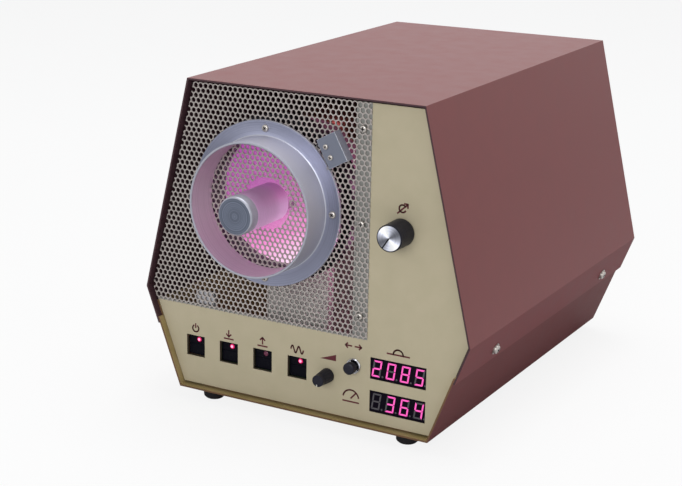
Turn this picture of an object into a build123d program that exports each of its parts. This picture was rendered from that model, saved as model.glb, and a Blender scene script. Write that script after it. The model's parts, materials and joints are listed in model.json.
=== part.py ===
# Bench-top plasma cleaner: a six-sided sheet-metal case with a pull-out chamber door.
# Millimetres. +Z is up and the front faces -Y. The origin lies on the bench, under the middle
# of the whole outline. Depths (y) are counted from the front edge of the case, heights (z)
# from the underside of the chassis tray.
from build123d import *
from math import atan2, cos, degrees, hypot, radians, sin, sqrt
import os

os.makedirs("parts", exist_ok=True)

# Case
case_height = 270.0
case_depth = 371.0
top_width = 216.0
waist_width = 305.0
waist_height = 85.3
base_width = 241.0
sheet = 1.5
bend_radius = 3.0
seam_gap = 0.1
flange_end = 53.8
tray_wall_top = 72.0
tray_rear_step = 5.0
tray_front_wall = 59.0
foot_height = 10.0
foot_radius = 9.75
foot_taper = 4.0
foot_chamfer = 2.0
foot_spacing_x = 187.0
foot_inset_y = 16.0

# Panels
panel_recess = 6.0
panel_thickness = 3.0
panel_gap = 0.5
panel_strip_top = 75.0
panel_split_x = 46.0
rear_panel_recess = 8.0
tab_height = 12.0
tab_width = 200.0
screen_thickness = 1.2
screen_right = 60.0
screen_top_gap = 5.2
screen_bottom = 73.6
screen_screw_x = 53.0
screen_screw_inset = 19.3
screen_bracket_x = -96.0
screen_bracket_width = 18.0
screen_bracket_reach = 13.0
screen_bracket_lap = 2.0

# Chamber door, on its own axis
door_x = -34.0
door_z = 174.0
ring_flange_radius = 69.0
ring_flange_thickness = 2.5
ring_tube_radius = 55.8
ring_tube_wall = 1.8
ring_rim_reach = 25.0
ring_seat_gap = 0.3
ring_screw_circle = 62.5
door_frame_radius = 66.0
door_port_gap = 1.0
mesh_hole_radius = 21.5
door_glass_radius = 59.6
door_glass_thickness = 9.5
door_frame_front = 10.0
door_lip_radius = 57.3
door_lip = 2.0
door_boss_radius = 3.2
door_seal_gap = 0.3
handle_radius = 15.875
handle_reach = 44.0
handle_cap_length = 10.0
handle_chamfer = 1.2
handle_stud_radius = 4.0
handle_stud_length = 20.0
door_travel = 150.0

# Chamber
barrel_radius = 59.5
barrel_wall = 3.0
barrel_length = 142.0
barrel_dome = 26.0
neck_radius = 8.0
neck_wall = 2.0
neck_length = 22.0
chamber_flange_radius = 70.0
chamber_flange_thickness = 14.0
barrel_socket_depth = 8.0
oring_radius = 58.9
oring_section = 1.2
guide_radius = 2.0
guide_circle = 63.6
guide_seat = 4.0
guide_tail = 2.0
guide_collar_radius = 3.4
guide_collar_length = 3.0
electrode_thickness = 1.0
electrode_start = 72.0
electrode_length = 80.0
electrode_half_angle = 68.0
saddle_thickness = 10.0
saddle_width = 60.0
saddle_places = (54.0, 158.0)
saddle_wrap = 8.0
hub_radius = 14.0
hub_thickness = 5.0
rail_radius = 2.5
rail_spread = 24.0
rail_drop = 22.0
rail_length = 128.0
dish_width = 76.0
dish_length = 112.0
dish_height = 12.0
dish_wall = 1.5
dish_corner = 6.0
dish_start = 45.0

# Keys
key_count = 4
key_pitch = 33.6
key_first_x = -105.9
key_z = 37.4
key_open_width = 18.2
key_open_height = 18.6
key_gap = 0.4
key_recess = 3.4
key_depth = 6.0
key_travel = 2.0
key_stem_radius = 2.0
key_stem_engage = 2.0
key_switch_gap = 0.4
key_switch_inset = 1.5
key_groove = 0.6
key_groove_z = 0.8
lamp_radius = 2.1
lamp_x = 1.2
lamp_z = 4.9
lamp_gap = 0.3
lamp_sink = 0.2
lamp_dome = 0.8
lamp_taper = 35.0

# Controls and displays
display_x = 88.2
display_z = (50.85, 22.6)
display_width = 50.0
display_height = 18.4
display_gap = 0.1
display_recess = 0.8
board_depth = 26.0
board_thickness = 1.6
board_half_width = 112.0
board_bottom = 4.0
board_top = 66.0
button_x = 48.2
button_z = 49.6
button_reach = 10.0
button_radius = 5.0
button_nut_radius = 6.5
button_nut_height = 2.0
button_travel = 2.0
button_gap = 0.4
button_bevel = 0.8
button_body_length = 14.0
button_stem_length = 10.0
level_x = 24.2
level_z = 36.8
level_radius = 6.2
level_face_radius = 5.0
level_reach = 16.2
level_nose = 4.0
level_cone_inset = 0.3
flute_count = 18
flute_radius = 0.6
flute_offset = 0.35
notch_width = 0.9
notch_length = 3.4
notch_depth = 1.2
notch_x = -0.8
pot_radius = 8.5
pot_depth = 11.0
pot_bush_wall = 1.2
spindle_radius = 3.0
spindle_length = 12.0
running_gap = 0.05
knob_x = 88.0
knob_z = 167.8
knob_radius = 11.2
knob_face_radius = 10.9
knob_reach = 21.8
inlay_radius = 10.0
inlay_thickness = 0.6
inlay_proud = 0.2
pointer_angle = 236.0
pointer_length = 9.4
pointer_middle = 5.0
pointer_width = 0.7
set_screw_radius = 1.2
set_screw_depth = 2.2
set_screw_y = 6.0
knob_socket_depth = 14.0
knob_mouth_depth = 4.0
knob_mouth_gap = 0.9
knob_gap = 0.6

# Variable capacitor behind the tuning knob
shaft_radius = 3.175
capacitor_size = 56.0
capacitor_plate = 3.0
capacitor_length = 66.0
capacitor_bar_radius = 2.0
capacitor_bar_inset = 2.6
capacitor_bush_wall = 2.0
capacitor_bush_reach = 1.5
rotor_radius = 24.0
rotor_plate = 1.0
rotor_pitch = 6.6
rotor_count = 8
rotor_hub_wall = 2.0
rotor_first = 8.0
stator_bar_radius = 1.6
stator_bar_gap = 0.9
stator_foot = 4.0
coil_radius = 20.0
coil_wire = 3.0
coil_pitch = 7.0
coil_turns = 4

# Inner units
rf_box = (67.0, 120.0, 98.0)
rf_place = (78.5, 190.0)
rf_corner = 4.0
sink_side_margin = 6.0
sink_end_margin = 10.0
sink_fin_thickness = 2.0
heat_sink_base = 3.0
heat_sink_fin = 15.0
heat_sink_fins = 9
transformer_radius = 42.0
transformer_height = 44.0
transformer_hole = 12.0
transformer_shoulder = 8.0
transformer_place = (-62.0, 270.0)
manifold_width = 36.0
manifold_height = 28.0
manifold_length = 30.0
manifold_stub = 10.0
valve_coil_radius = 14.0
valve_coil_length = 34.0
valve_stem_radius = 6.0
valve_stem_length = 6.0
gauge_radius = 10.0
gauge_height = 46.0
gauge_stem = 8.0
gauge_bevel = 3.0
valve_corner = 4.0
hose_wall = 2.0
hose_lap = 12.0
hose_bridge = 6.8

# Rear panel fittings
fan_x = 68.0
fan_z = 190.0
fan_size = 80.0
fan_depth = 25.0
fan_bore = 38.0
fan_hub_radius = 16.0
fan_blades = 7
fan_blade_reach = 35.0
fan_blade_chord = 19.0
fan_blade_thickness = 1.6
fan_pin_radius = 1.5
fan_hole_pitch = 71.5
fan_corner = 4.0
strut_count = 3
strut_width = 5.0
strut_thickness = 3.0
rotor_gap = 1.0
blade_root_sink = 3.0
blade_root_share = 0.85
blade_root_pitch = 48.0
blade_tip_pitch = 28.0
guard_rings = (36.0, 26.0, 16.0)
guard_wire = 1.6
guard_tab_radius = 4.0
inlet_x = 70.0
inlet_z = 55.0
inlet_width = 48.0
inlet_height = 24.0
socket_width = 24.0
socket_height = 16.5
socket_depth = 17.0
socket_wall = 1.8
socket_panel_gap = 0.2
socket_corner = 2.0
inlet_flange = 3.0
inlet_corner = 3.0
blade_contact = (2.0, 4.0)
blade_spread = 7.0
blade_drop = 3.5
earth_rise = 4.0
port_reach = 30.0
port_radius = 8.0
port_bore = 5.5
port_nut_radius = 14.0
port_nut_height = 5.0
port_inner_reach = 20.0
gas_x = -92.0
gas_z = 174.0
gas_radius = 4.0
gas_bore = 2.2
gas_reach = 24.0
gas_inner_reach = 14.0

# Interlock at the ring's upper right
interlock_x = 30.7
interlock_z = 227.45
interlock_angle = 29.0
bracket_width = 18.0
bracket_length = 25.0
bracket_stand = 9.8
bracket_wall = 1.2
bracket_foot_gap = 0.5
switch_length = 20.0
switch_width = 10.0
switch_depth = 6.4
switch_screw_u = -3.7
switch_screw_pitch = 9.2
ear_width = 3.0
ear_height = 3.6
ear_thickness = 1.6
lever_pin_radius = 0.8
lever_pin_v = 8.0
lever_stand = 1.4
lever_thickness = 0.6
lever_roller_radius = 1.5
lever_roller_v = -11.0
lever_touch_gap = 0.3
lever_side_gap = 0.2
lever_hub_wall = 0.4
lever_foot_gap = 0.5

# Screws
cover_screw_y = (66.5, 306.5)
cover_screw_z = 64.5
cover_screw_head = 3.9
cover_screw_head_height = 2.4
cover_screw_shank = 2.0
washer_radius = 5.0
washer_thickness = 0.8
small_head_radius = 2.9
small_head_height = 1.9
small_shank_radius = 1.5
tiny_head_radius = 2.0
tiny_head_height = 1.3
tiny_shank_radius = 0.9
tiny_head_taper = 15.0
head_taper = 18.0
panel_screw_bite = 3.0
hole_gap = 0.1

# The outline is centred on the origin from the handle's face to the end of the rear port.
rear_panel_back = case_depth - rear_panel_recess
rear_reach = rear_panel_back + port_reach - case_depth
front_y = handle_reach - (handle_reach + case_depth + rear_reach) / 2
screen_front = panel_recess - screen_thickness
panel_back = panel_recess + panel_thickness
rear_panel_front = rear_panel_back - panel_thickness
wall_slope = (waist_width - base_width) / 2 / waist_height
wall_angle = degrees(atan2(wall_slope, 1))
panel_inset = 2 * sheet + seam_gap + panel_gap
screen_top = case_height - screen_top_gap
screen_screw_z = [
    screen_top - screen_screw_inset,
    (screen_top + screen_bottom) / 2,
    screen_bottom + screen_screw_inset,
]


def facing(y, x=0.0, z=0.0, turn=0.0):
    """A plane across the case at depth y that looks to the front, its local y pointing up."""
    sideways = (cos(radians(turn)), 0, sin(radians(turn)))
    return Plane(origin=(x, front_y + y, foot_height + z), x_dir=sideways, z_dir=(0, -1, 0))


def level(z, x=0.0, y=0.0):
    """A level plane at height z above the tray's underside."""
    return Plane(origin=(x, front_y + y, foot_height + z), x_dir=(1, 0, 0), z_dir=(0, 0, 1))


def across(x, y=0.0, z=0.0):
    """A plane at x that looks to +X, its local x pointing to the rear."""
    return Plane(origin=(x, front_y + y, foot_height + z), x_dir=(0, 1, 0), z_dir=(1, 0, 0))


def door(y, turn=0.0):
    """A plane across the chamber axis at depth y."""
    return facing(y, door_x, door_z, turn)


def half_width(z):
    """Half the width of the case below its waist, at height z."""
    return base_width / 2 + wall_slope * z


def save(piece, name):
    piece.part.label = name
    export_step(piece.part, f"parts/{name}.step")


case_outline = [
    (-base_width / 2, 0),
    (base_width / 2, 0),
    (waist_width / 2, waist_height),
    (top_width / 2, case_height),
    (-top_width / 2, case_height),
    (-waist_width / 2, waist_height),
]


# Cover: one sheet, bent at the top edges and at the waist, its flanges outside the tray's walls
def flange_planes():
    """Planes on the outer faces of the two flanges, at each screw, looking outwards."""
    planes = []
    for hand in (1, -1):
        outward = (hand * cos(radians(wall_angle)), 0, -sin(radians(wall_angle)))
        for y in cover_screw_y:
            place = (hand * half_width(cover_screw_z), front_y + y, foot_height + cover_screw_z)
            planes.append(Plane(origin=place, x_dir=(0, 1, 0), z_dir=outward))
    return planes


with BuildPart() as cover:
    with BuildSketch(facing(0)):
        Polygon(*case_outline, align=None)
        bends = [v for v in vertices() if v.Z > foot_height + sheet]
        fillet(bends, bend_radius)
        offset(amount=-sheet, mode=Mode.SUBTRACT)
        with Locations((0, flange_end / 2)):
            Rectangle(waist_width, flange_end, mode=Mode.SUBTRACT)
    extrude(amount=-case_depth)
    for plane in flange_planes():
        with BuildSketch(plane):
            Circle(cover_screw_shank + hole_gap)
        extrude(amount=-2 * sheet, mode=Mode.SUBTRACT)
save(cover, "cover")

# Chassis tray: floor and slanted walls, lower ahead of the panel, with a tab behind each panel
tray_inset = (sheet + seam_gap) / cos(radians(wall_angle))
tray_foot = half_width(0) - tray_inset
tray_crown = half_width(tray_wall_top + sheet) - tray_inset
tray_depth = case_depth - tray_rear_step
with BuildPart() as chassis_tray:
    with BuildSketch(facing(0)):
        Polygon(
            (-tray_foot, 0),
            (tray_foot, 0),
            (tray_crown, tray_wall_top + sheet),
            (-tray_crown, tray_wall_top + sheet),
            align=None,
        )
        offset(amount=-sheet, mode=Mode.SUBTRACT)
        with Locations((0, tray_wall_top + sheet / 2)):
            Rectangle(waist_width, sheet, mode=Mode.SUBTRACT)
    extrude(amount=-tray_depth)
    with BuildSketch(facing(0, 0, tray_front_wall)):
        Rectangle(waist_width, tray_wall_top, align=(Align.CENTER, Align.MIN))
    extrude(amount=-(panel_recess - seam_gap), mode=Mode.SUBTRACT)
    for y in (panel_back + seam_gap, rear_panel_front - seam_gap - sheet):
        with BuildSketch(facing(y, 0, sheet)):
            Rectangle(tab_width, tab_height, align=(Align.CENTER, Align.MIN))
        extrude(amount=-sheet)
    for plane in flange_planes():
        with BuildSketch(plane):
            Circle(cover_screw_shank + hole_gap)
        extrude(amount=-3 * sheet, mode=Mode.SUBTRACT)
save(chassis_tray, "chassis_tray")

# Rubber feet, slightly conical, with a bevelled sole
with BuildPart() as rubber_feet:
    with BuildSketch(level(0)):
        with Locations(
            *[
                (side * foot_spacing_x / 2, y)
                for side in (-1, 1)
                for y in (foot_inset_y, case_depth - foot_inset_y)
            ]
        ):
            Circle(foot_radius)
    extrude(amount=-foot_height, taper=foot_taper)
    chamfer(rubber_feet.edges().filter_by(GeomType.CIRCLE).group_by(Axis.Z)[0], foot_chamfer)
save(rubber_feet, "rubber_feet")

# Cover screws with their washers
with BuildPart() as cover_screws:
    for plane in flange_planes():
        with BuildSketch(plane):
            Circle(washer_radius)
        extrude(amount=washer_thickness)
        with BuildSketch(plane.offset(washer_thickness)):
            Circle(cover_screw_head)
        extrude(amount=cover_screw_head_height, taper=head_taper)
        with BuildSketch(plane):
            Circle(cover_screw_shank)
        extrude(amount=-(3 * sheet + seam_gap))
save(cover_screws, "cover_screws")

# Front panel: a lower strip and a right strip in one plate
with BuildPart() as front_panel:
    with BuildSketch(facing(panel_recess)):
        Polygon(*case_outline, align=None)
        offset(amount=-panel_inset, kind=Kind.INTERSECTION)
        with Locations((panel_split_x, panel_strip_top)):
            Rectangle(waist_width, case_height, align=(Align.MAX, Align.MIN), mode=Mode.SUBTRACT)
        for index in range(key_count):
            with Locations((key_first_x + index * key_pitch, key_z)):
                Rectangle(key_open_width, key_open_height, mode=Mode.SUBTRACT)
        for z in display_z:
            with Locations((display_x, z)):
                Rectangle(display_width, display_height, mode=Mode.SUBTRACT)
        with Locations((button_x, button_z)):
            Circle(button_radius + hole_gap, mode=Mode.SUBTRACT)
        with Locations((level_x, level_z)):
            Circle(spindle_radius + pot_bush_wall + hole_gap, mode=Mode.SUBTRACT)
        with Locations((knob_x, knob_z)):
            Circle(shaft_radius + capacitor_bush_wall + hole_gap, mode=Mode.SUBTRACT)
        with Locations(*[(screen_screw_x, z) for z in screen_screw_z]):
            Circle(small_shank_radius + hole_gap, mode=Mode.SUBTRACT)
    extrude(amount=-panel_thickness)
save(front_panel, "front_panel")


# Interlock plane: u runs away from the ring, v along the bracket
def interlock(y):
    return facing(y, interlock_x, interlock_z, interlock_angle)


# RF screen, with a round port for the door
with BuildPart() as rf_screen:
    with BuildSketch(facing(screen_front)):
        Polygon(*case_outline, align=None)
        offset(amount=-panel_inset, kind=Kind.INTERSECTION)
        with Locations((screen_right, 0)):
            Rectangle(waist_width, case_height, align=(Align.MIN, Align.MIN), mode=Mode.SUBTRACT)
        with Locations((0, screen_bottom)):
            Rectangle(waist_width, case_height, align=(Align.CENTER, Align.MAX), mode=Mode.SUBTRACT)
        with Locations((0, screen_top)):
            Rectangle(waist_width, case_height, align=(Align.CENTER, Align.MIN), mode=Mode.SUBTRACT)
        with Locations((door_x, door_z)):
            Circle(door_frame_radius + door_port_gap, mode=Mode.SUBTRACT)
        with Locations(*[(screen_screw_x, z) for z in screen_screw_z]):
            Circle(small_shank_radius + hole_gap, mode=Mode.SUBTRACT)
    extrude(amount=-screen_thickness)
save(rf_screen, "rf_screen")

# Bracket that holds the screen's lower left corner to the back of the panel
bracket_foot = panel_strip_top - screen_bracket_reach
bracket_head = panel_strip_top + screen_bracket_reach
with BuildPart() as screen_bracket:
    with BuildSketch(across(screen_bracket_x - screen_bracket_width / 2)):
        with BuildLine():
            Polyline(
                (panel_back, bracket_foot),
                (panel_back + sheet, bracket_foot),
                (panel_back + sheet, bracket_head),
                (panel_recess, bracket_head),
                (panel_recess, panel_strip_top + screen_bracket_lap),
                (panel_recess + sheet, panel_strip_top + screen_bracket_lap),
                (panel_recess + sheet, bracket_head - sheet),
                (panel_back, bracket_head - sheet),
                close=True,
            )
        make_face()
    extrude(amount=screen_bracket_width)
save(screen_bracket, "screen_bracket")

# Door ring: a deep tube on a flat flange, turned from one piece
ring_back = screen_front - ring_seat_gap
ring_front = ring_back - ring_flange_thickness
with BuildPart() as door_ring:
    with BuildSketch(door(ring_front)):
        Circle(ring_flange_radius)
    extrude(amount=-ring_flange_thickness)
    with BuildSketch(door(-ring_rim_reach)):
        Circle(ring_tube_radius)
    extrude(amount=-(ring_front + ring_rim_reach))
    with BuildSketch(door(-ring_rim_reach)):
        Circle(ring_tube_radius - ring_tube_wall)
    extrude(amount=-(ring_back + ring_rim_reach), mode=Mode.SUBTRACT)
    with BuildSketch(door(ring_front)):
        with PolarLocations(ring_screw_circle, 4):
            Circle(small_shank_radius + hole_gap)
    extrude(amount=-ring_flange_thickness, mode=Mode.SUBTRACT)
save(door_ring, "door_ring")

# Door mesh: the disc behind the ring, open in the middle for the handle
with BuildPart() as door_mesh:
    with BuildSketch(door(ring_back)):
        Circle(door_frame_radius)
        Circle(mesh_hole_radius, mode=Mode.SUBTRACT)
        with PolarLocations(ring_screw_circle, 4):
            Circle(small_shank_radius + hole_gap, mode=Mode.SUBTRACT)
    extrude(amount=-screen_thickness)
save(door_mesh, "door_mesh")

# Door frame: a ring with four bosses in front, a lip, and a seat for the glass
mesh_back = ring_back + screen_thickness
glass_front = door_frame_front + door_lip
glass_back = glass_front + door_glass_thickness
frame_back = glass_back - door_seal_gap
with BuildPart() as door_frame:
    with BuildSketch(door(door_frame_front)):
        Circle(door_frame_radius)
    extrude(amount=-(frame_back - door_frame_front))
    with BuildSketch(door(mesh_back)):
        with PolarLocations(ring_screw_circle, 4):
            Circle(door_boss_radius)
    extrude(amount=-(door_frame_front - mesh_back))
    with BuildSketch(door(door_frame_front)):
        Circle(door_lip_radius)
    extrude(amount=-(frame_back - door_frame_front), mode=Mode.SUBTRACT)
    with BuildSketch(door(glass_front)):
        Circle(door_glass_radius + hole_gap)
    extrude(amount=-(frame_back - glass_front), mode=Mode.SUBTRACT)
    with BuildSketch(door(mesh_back)):
        with PolarLocations(ring_screw_circle, 4):
            Circle(small_shank_radius + hole_gap)
    extrude(amount=-(door_frame_front - mesh_back + door_lip), mode=Mode.SUBTRACT)
    with BuildSketch(door(frame_back - guide_seat)):
        with Locations((guide_circle, 0), (-guide_circle, 0)):
            Circle(guide_radius + running_gap)
    extrude(amount=-guide_seat, mode=Mode.SUBTRACT)
save(door_frame, "door_frame")

# Ring screws
with BuildPart() as door_screws:
    with BuildSketch(door(ring_front)):
        with PolarLocations(ring_screw_circle, 4):
            Circle(small_head_radius)
    extrude(amount=small_head_height, taper=head_taper)
    with BuildSketch(door(ring_front)):
        with PolarLocations(ring_screw_circle, 4):
            Circle(small_shank_radius)
    extrude(amount=-(door_frame_front - ring_front))
save(door_screws, "door_screws")

# Thick glass door plate
with BuildPart() as door_glass:
    with BuildSketch(door(glass_front)):
        Circle(door_glass_radius)
        Circle(handle_stud_radius + running_gap, mode=Mode.SUBTRACT)
    extrude(amount=-door_glass_thickness)
save(door_glass, "door_glass")

# Handle: a long grip and a turned cap
with BuildPart() as handle_grip:
    with BuildSketch(door(handle_cap_length - handle_reach)):
        Circle(handle_radius)
    extrude(amount=-(glass_front + handle_reach - handle_cap_length))
    with BuildSketch(door(glass_front - handle_stud_length)):
        Circle(handle_stud_radius + running_gap)
    extrude(amount=-handle_stud_length, mode=Mode.SUBTRACT)
save(handle_grip, "handle_grip")

with BuildPart() as handle_cap:
    with BuildSketch(door(-handle_reach)):
        Circle(handle_radius)
    extrude(amount=-handle_cap_length)
    chamfer(handle_cap.edges().sort_by(Axis.Y)[0], handle_chamfer)
save(handle_cap, "handle_cap")

# Tray carrier: stud through the glass, hub, drop plate and two rails
rail_start = glass_back + hub_thickness
plate_width = 2 * rail_spread + 4 * rail_radius
with BuildPart() as tray_carrier:
    with BuildSketch(door(glass_front - handle_stud_length)):
        Circle(handle_stud_radius)
    extrude(amount=-(handle_stud_length + door_glass_thickness))
    with BuildSketch(door(glass_back)):
        Circle(hub_radius)
        with Locations((0, -rail_drop)):
            Rectangle(plate_width, 4 * rail_radius)
        with Locations((0, -rail_drop / 2)):
            Rectangle(hub_radius, rail_drop)
    extrude(amount=-hub_thickness)
    with BuildSketch(door(rail_start)):
        with Locations((rail_spread, -rail_drop), (-rail_spread, -rail_drop)):
            Circle(rail_radius)
    extrude(amount=-rail_length)
save(tray_carrier, "tray_carrier")

# Sample dish on the rails
dish_floor = door_z - rail_drop + rail_radius
with BuildPart() as sample_tray:
    with BuildSketch(level(dish_floor, door_x, dish_start)):
        RectangleRounded(dish_width, dish_length, dish_corner, align=(Align.CENTER, Align.MIN))
    extrude(amount=dish_height)
    offset(
        amount=-dish_wall,
        openings=sample_tray.faces().sort_by(Axis.Z)[-1],
        kind=Kind.INTERSECTION,
    )
save(sample_tray, "sample_tray")

# Guide rods, with a stop collar at the rear end
chamber_front = glass_back + 2 * door_seal_gap
flange_back = chamber_front + chamber_flange_thickness
collar_front = flange_back + door_travel + door_seal_gap
with BuildPart() as guide_rods:
    with BuildSketch(door(frame_back - guide_seat)):
        with Locations((guide_circle, 0), (-guide_circle, 0)):
            Circle(guide_radius)
    extrude(amount=-(collar_front + guide_collar_length + guide_tail - frame_back + guide_seat))
    with BuildSketch(door(collar_front)):
        with Locations((guide_circle, 0), (-guide_circle, 0)):
            Circle(guide_collar_radius)
    extrude(amount=-guide_collar_length)
save(guide_rods, "guide_rods")

# Chamber front flange: bore, O-ring groove, sockets for the barrel and the guide rods
bore_radius = barrel_radius - barrel_wall
with BuildPart() as chamber_flange:
    with BuildSketch(door(chamber_front)):
        Circle(chamber_flange_radius)
        Circle(bore_radius, mode=Mode.SUBTRACT)
        with Locations((guide_circle, 0), (-guide_circle, 0)):
            Circle(guide_radius + running_gap, mode=Mode.SUBTRACT)
    extrude(amount=-chamber_flange_thickness)
    with BuildSketch(door(flange_back - barrel_socket_depth)):
        Circle(barrel_radius + ring_seat_gap)
    extrude(amount=-barrel_socket_depth, mode=Mode.SUBTRACT)
    with BuildSketch(door(chamber_front)):
        Circle(oring_radius + oring_section + hole_gap)
        Circle(oring_radius - oring_section - hole_gap, mode=Mode.SUBTRACT)
    extrude(amount=-2 * oring_section, mode=Mode.SUBTRACT)
save(chamber_flange, "chamber_flange")

# Chamber seal ring of a six-sided section, standing a little out of its groove
with BuildPart() as chamber_oring:
    with BuildSketch(across(door_x, chamber_front + oring_section - door_seal_gap, door_z)):
        with Locations((0, oring_radius)):
            RegularPolygon(oring_section, 6)
    revolve(axis=Axis((door_x, front_y, foot_height + door_z), (0, 1, 0)))
save(chamber_oring, "chamber_oring")

# Glass barrel: a straight tube, a domed end and a pump neck
barrel_front = flange_back - barrel_socket_depth + hole_gap
barrel_back = barrel_front + barrel_length
neck_back = barrel_back + barrel_dome + neck_length


def barrel_profile(radius, shoulder, dome, neck):
    """Half section of a tube with a dished end, from its open mouth to the end of its neck."""
    ball = (radius**2 + dome**2) / (2 * dome)
    centre = shoulder + dome - ball
    middle = (radius + neck) / 2
    bottom = centre + sqrt(ball**2 - neck**2)
    Polyline((barrel_front, 0), (barrel_front, radius), (shoulder, radius))
    ThreePointArc(
        (shoulder, radius), (centre + sqrt(ball**2 - middle**2), middle), (bottom, neck)
    )
    Polyline((bottom, neck), (neck_back, neck), (neck_back, 0), (barrel_front, 0))


with BuildPart() as glass_barrel:
    with BuildSketch(across(door_x, 0, door_z)):
        with BuildLine():
            barrel_profile(barrel_radius, barrel_back, barrel_dome, neck_radius)
        make_face()
        with BuildSketch(mode=Mode.SUBTRACT):
            with BuildLine():
                barrel_profile(
                    barrel_radius - barrel_wall,
                    barrel_back,
                    barrel_dome - barrel_wall,
                    neck_radius - neck_wall,
                )
            make_face()
    revolve(axis=Axis((door_x, front_y, foot_height + door_z), (0, 1, 0)))
save(glass_barrel, "glass_barrel")

# Curved electrodes over and under the barrel
electrode_inner = barrel_radius + ring_seat_gap
electrode_outer = electrode_inner + electrode_thickness
for name, upward in (("upper_electrode", 1), ("lower_electrode", -1)):
    with BuildPart() as electrode:
        with BuildSketch(door(electrode_start)):
            with BuildLine():
                start = 90 * upward - electrode_half_angle
                CenterArc((0, 0), electrode_outer, start, 2 * electrode_half_angle)
                CenterArc((0, 0), electrode_inner, start, 2 * electrode_half_angle)
                for edge in (start, start + 2 * electrode_half_angle):
                    PolarLine(
                        (electrode_inner * cos(radians(edge)), electrode_inner * sin(radians(edge))),
                        electrode_thickness,
                        edge,
                    )
            make_face()
        extrude(amount=-electrode_length)
    save(electrode, name)

# Saddles under the barrel
saddle_radius = barrel_radius + ring_seat_gap
saddle_top = door_z - saddle_radius + saddle_wrap
with BuildPart() as chamber_saddles:
    for y in saddle_places:
        with BuildSketch(facing(y, door_x, sheet)):
            Rectangle(saddle_width, saddle_top - sheet, align=(Align.CENTER, Align.MIN))
            with Locations((0, door_z - sheet)):
                Circle(saddle_radius, mode=Mode.SUBTRACT)
        extrude(amount=-saddle_thickness)
save(chamber_saddles, "chamber_saddles")

# Keys: a square cap with a lamp hole, a dividing groove and a guide stem
key_front = panel_recess + key_recess
key_back = key_front + key_depth
switch_front = key_back + key_travel + key_switch_gap
key_x = [key_first_x + index * key_pitch for index in range(key_count)]
for name, x in zip(("power_key", "vacuum_key", "vent_key", "rf_key"), key_x):
    with BuildPart() as key:
        with BuildSketch(facing(key_front, x, key_z)):
            Rectangle(key_open_width - 2 * key_gap, key_open_height - 2 * key_gap)
            with Locations((lamp_x, lamp_z)):
                Circle(lamp_radius + lamp_gap, mode=Mode.SUBTRACT)
        extrude(amount=-key_depth)
        with BuildSketch(facing(key_front, x, key_z)):
            with Locations((0, key_groove_z)):
                Rectangle(key_open_width, key_groove)
        extrude(amount=-key_groove, mode=Mode.SUBTRACT)
        with BuildSketch(facing(key_back, x, key_z)):
            Circle(key_stem_radius)
        extrude(amount=-(key_travel + key_switch_gap + key_stem_engage))
    save(key, name)

with BuildPart() as key_switch_bodies:
    for x in key_x:
        with BuildSketch(facing(switch_front, x, key_z)):
            Rectangle(key_open_width - 2 * key_switch_inset, key_open_height - 2 * key_switch_inset)
            Circle(key_stem_radius + running_gap, mode=Mode.SUBTRACT)
        extrude(amount=-(board_depth - switch_front))
save(key_switch_bodies, "key_switch_bodies")

with BuildPart() as key_leds:
    for x in key_x:
        with BuildSketch(facing(key_front + lamp_sink, x + lamp_x, key_z + lamp_z)):
            Circle(lamp_radius)
        extrude(amount=-(switch_front - key_front - lamp_sink))
        with BuildSketch(facing(key_front + lamp_sink, x + lamp_x, key_z + lamp_z)):
            Circle(lamp_radius)
        extrude(amount=lamp_dome, taper=lamp_taper)
save(key_leds, "key_leds")

# Display modules
with BuildPart() as display_modules:
    for z in display_z:
        with BuildSketch(facing(panel_recess + display_recess, display_x, z)):
            Rectangle(display_width - 2 * display_gap, display_height - 2 * display_gap)
        extrude(amount=-(board_depth - panel_recess - display_recess))
save(display_modules, "display_modules")

# Control board behind the lower strip
with BuildPart() as control_board:
    with BuildSketch(facing(board_depth)):
        with Locations((0, (board_bottom + board_top) / 2)):
            Rectangle(2 * board_half_width, board_top - board_bottom)
    extrude(amount=-board_thickness)
save(control_board, "control_board")

# Push button: bush with its nut, and the cap
bush_front = panel_recess - button_nut_height
with BuildPart() as push_button_bush:
    with BuildSketch(facing(bush_front, button_x, button_z)):
        RegularPolygon(button_nut_radius, 6)
    extrude(amount=-button_nut_height)
    with BuildSketch(facing(panel_recess, button_x, button_z)):
        Circle(button_radius)
    extrude(amount=-panel_thickness)
    with BuildSketch(facing(panel_back, button_x, button_z)):
        Circle(button_nut_radius)
    extrude(amount=-button_body_length)
    with BuildSketch(facing(bush_front, button_x, button_z)):
        Circle(key_stem_radius + running_gap)
    extrude(amount=-button_body_length, mode=Mode.SUBTRACT)
save(push_button_bush, "push_button_bush")

button_front = panel_recess - button_reach
cap_back = bush_front - button_travel - button_gap
with BuildPart() as push_button_cap:
    with BuildSketch(facing(button_front, button_x, button_z)):
        Circle(button_radius)
    extrude(amount=-(cap_back - button_front))
    chamfer(push_button_cap.edges().sort_by(Axis.Y)[0], button_bevel)
    with BuildSketch(facing(cap_back, button_x, button_z)):
        Circle(key_stem_radius)
    extrude(amount=-button_stem_length)
save(push_button_cap, "push_button_cap")

# Level control: potentiometer with its bush, and a fluted knob on its spindle
with BuildPart() as level_pot:
    with BuildSketch(facing(panel_back, level_x, level_z)):
        Circle(pot_radius)
        Circle(spindle_radius + running_gap, mode=Mode.SUBTRACT)
    extrude(amount=-pot_depth)
    with BuildSketch(facing(panel_recess, level_x, level_z)):
        Circle(spindle_radius + pot_bush_wall)
        Circle(spindle_radius + running_gap, mode=Mode.SUBTRACT)
    extrude(amount=-panel_thickness)
save(level_pot, "level_pot")

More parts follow.
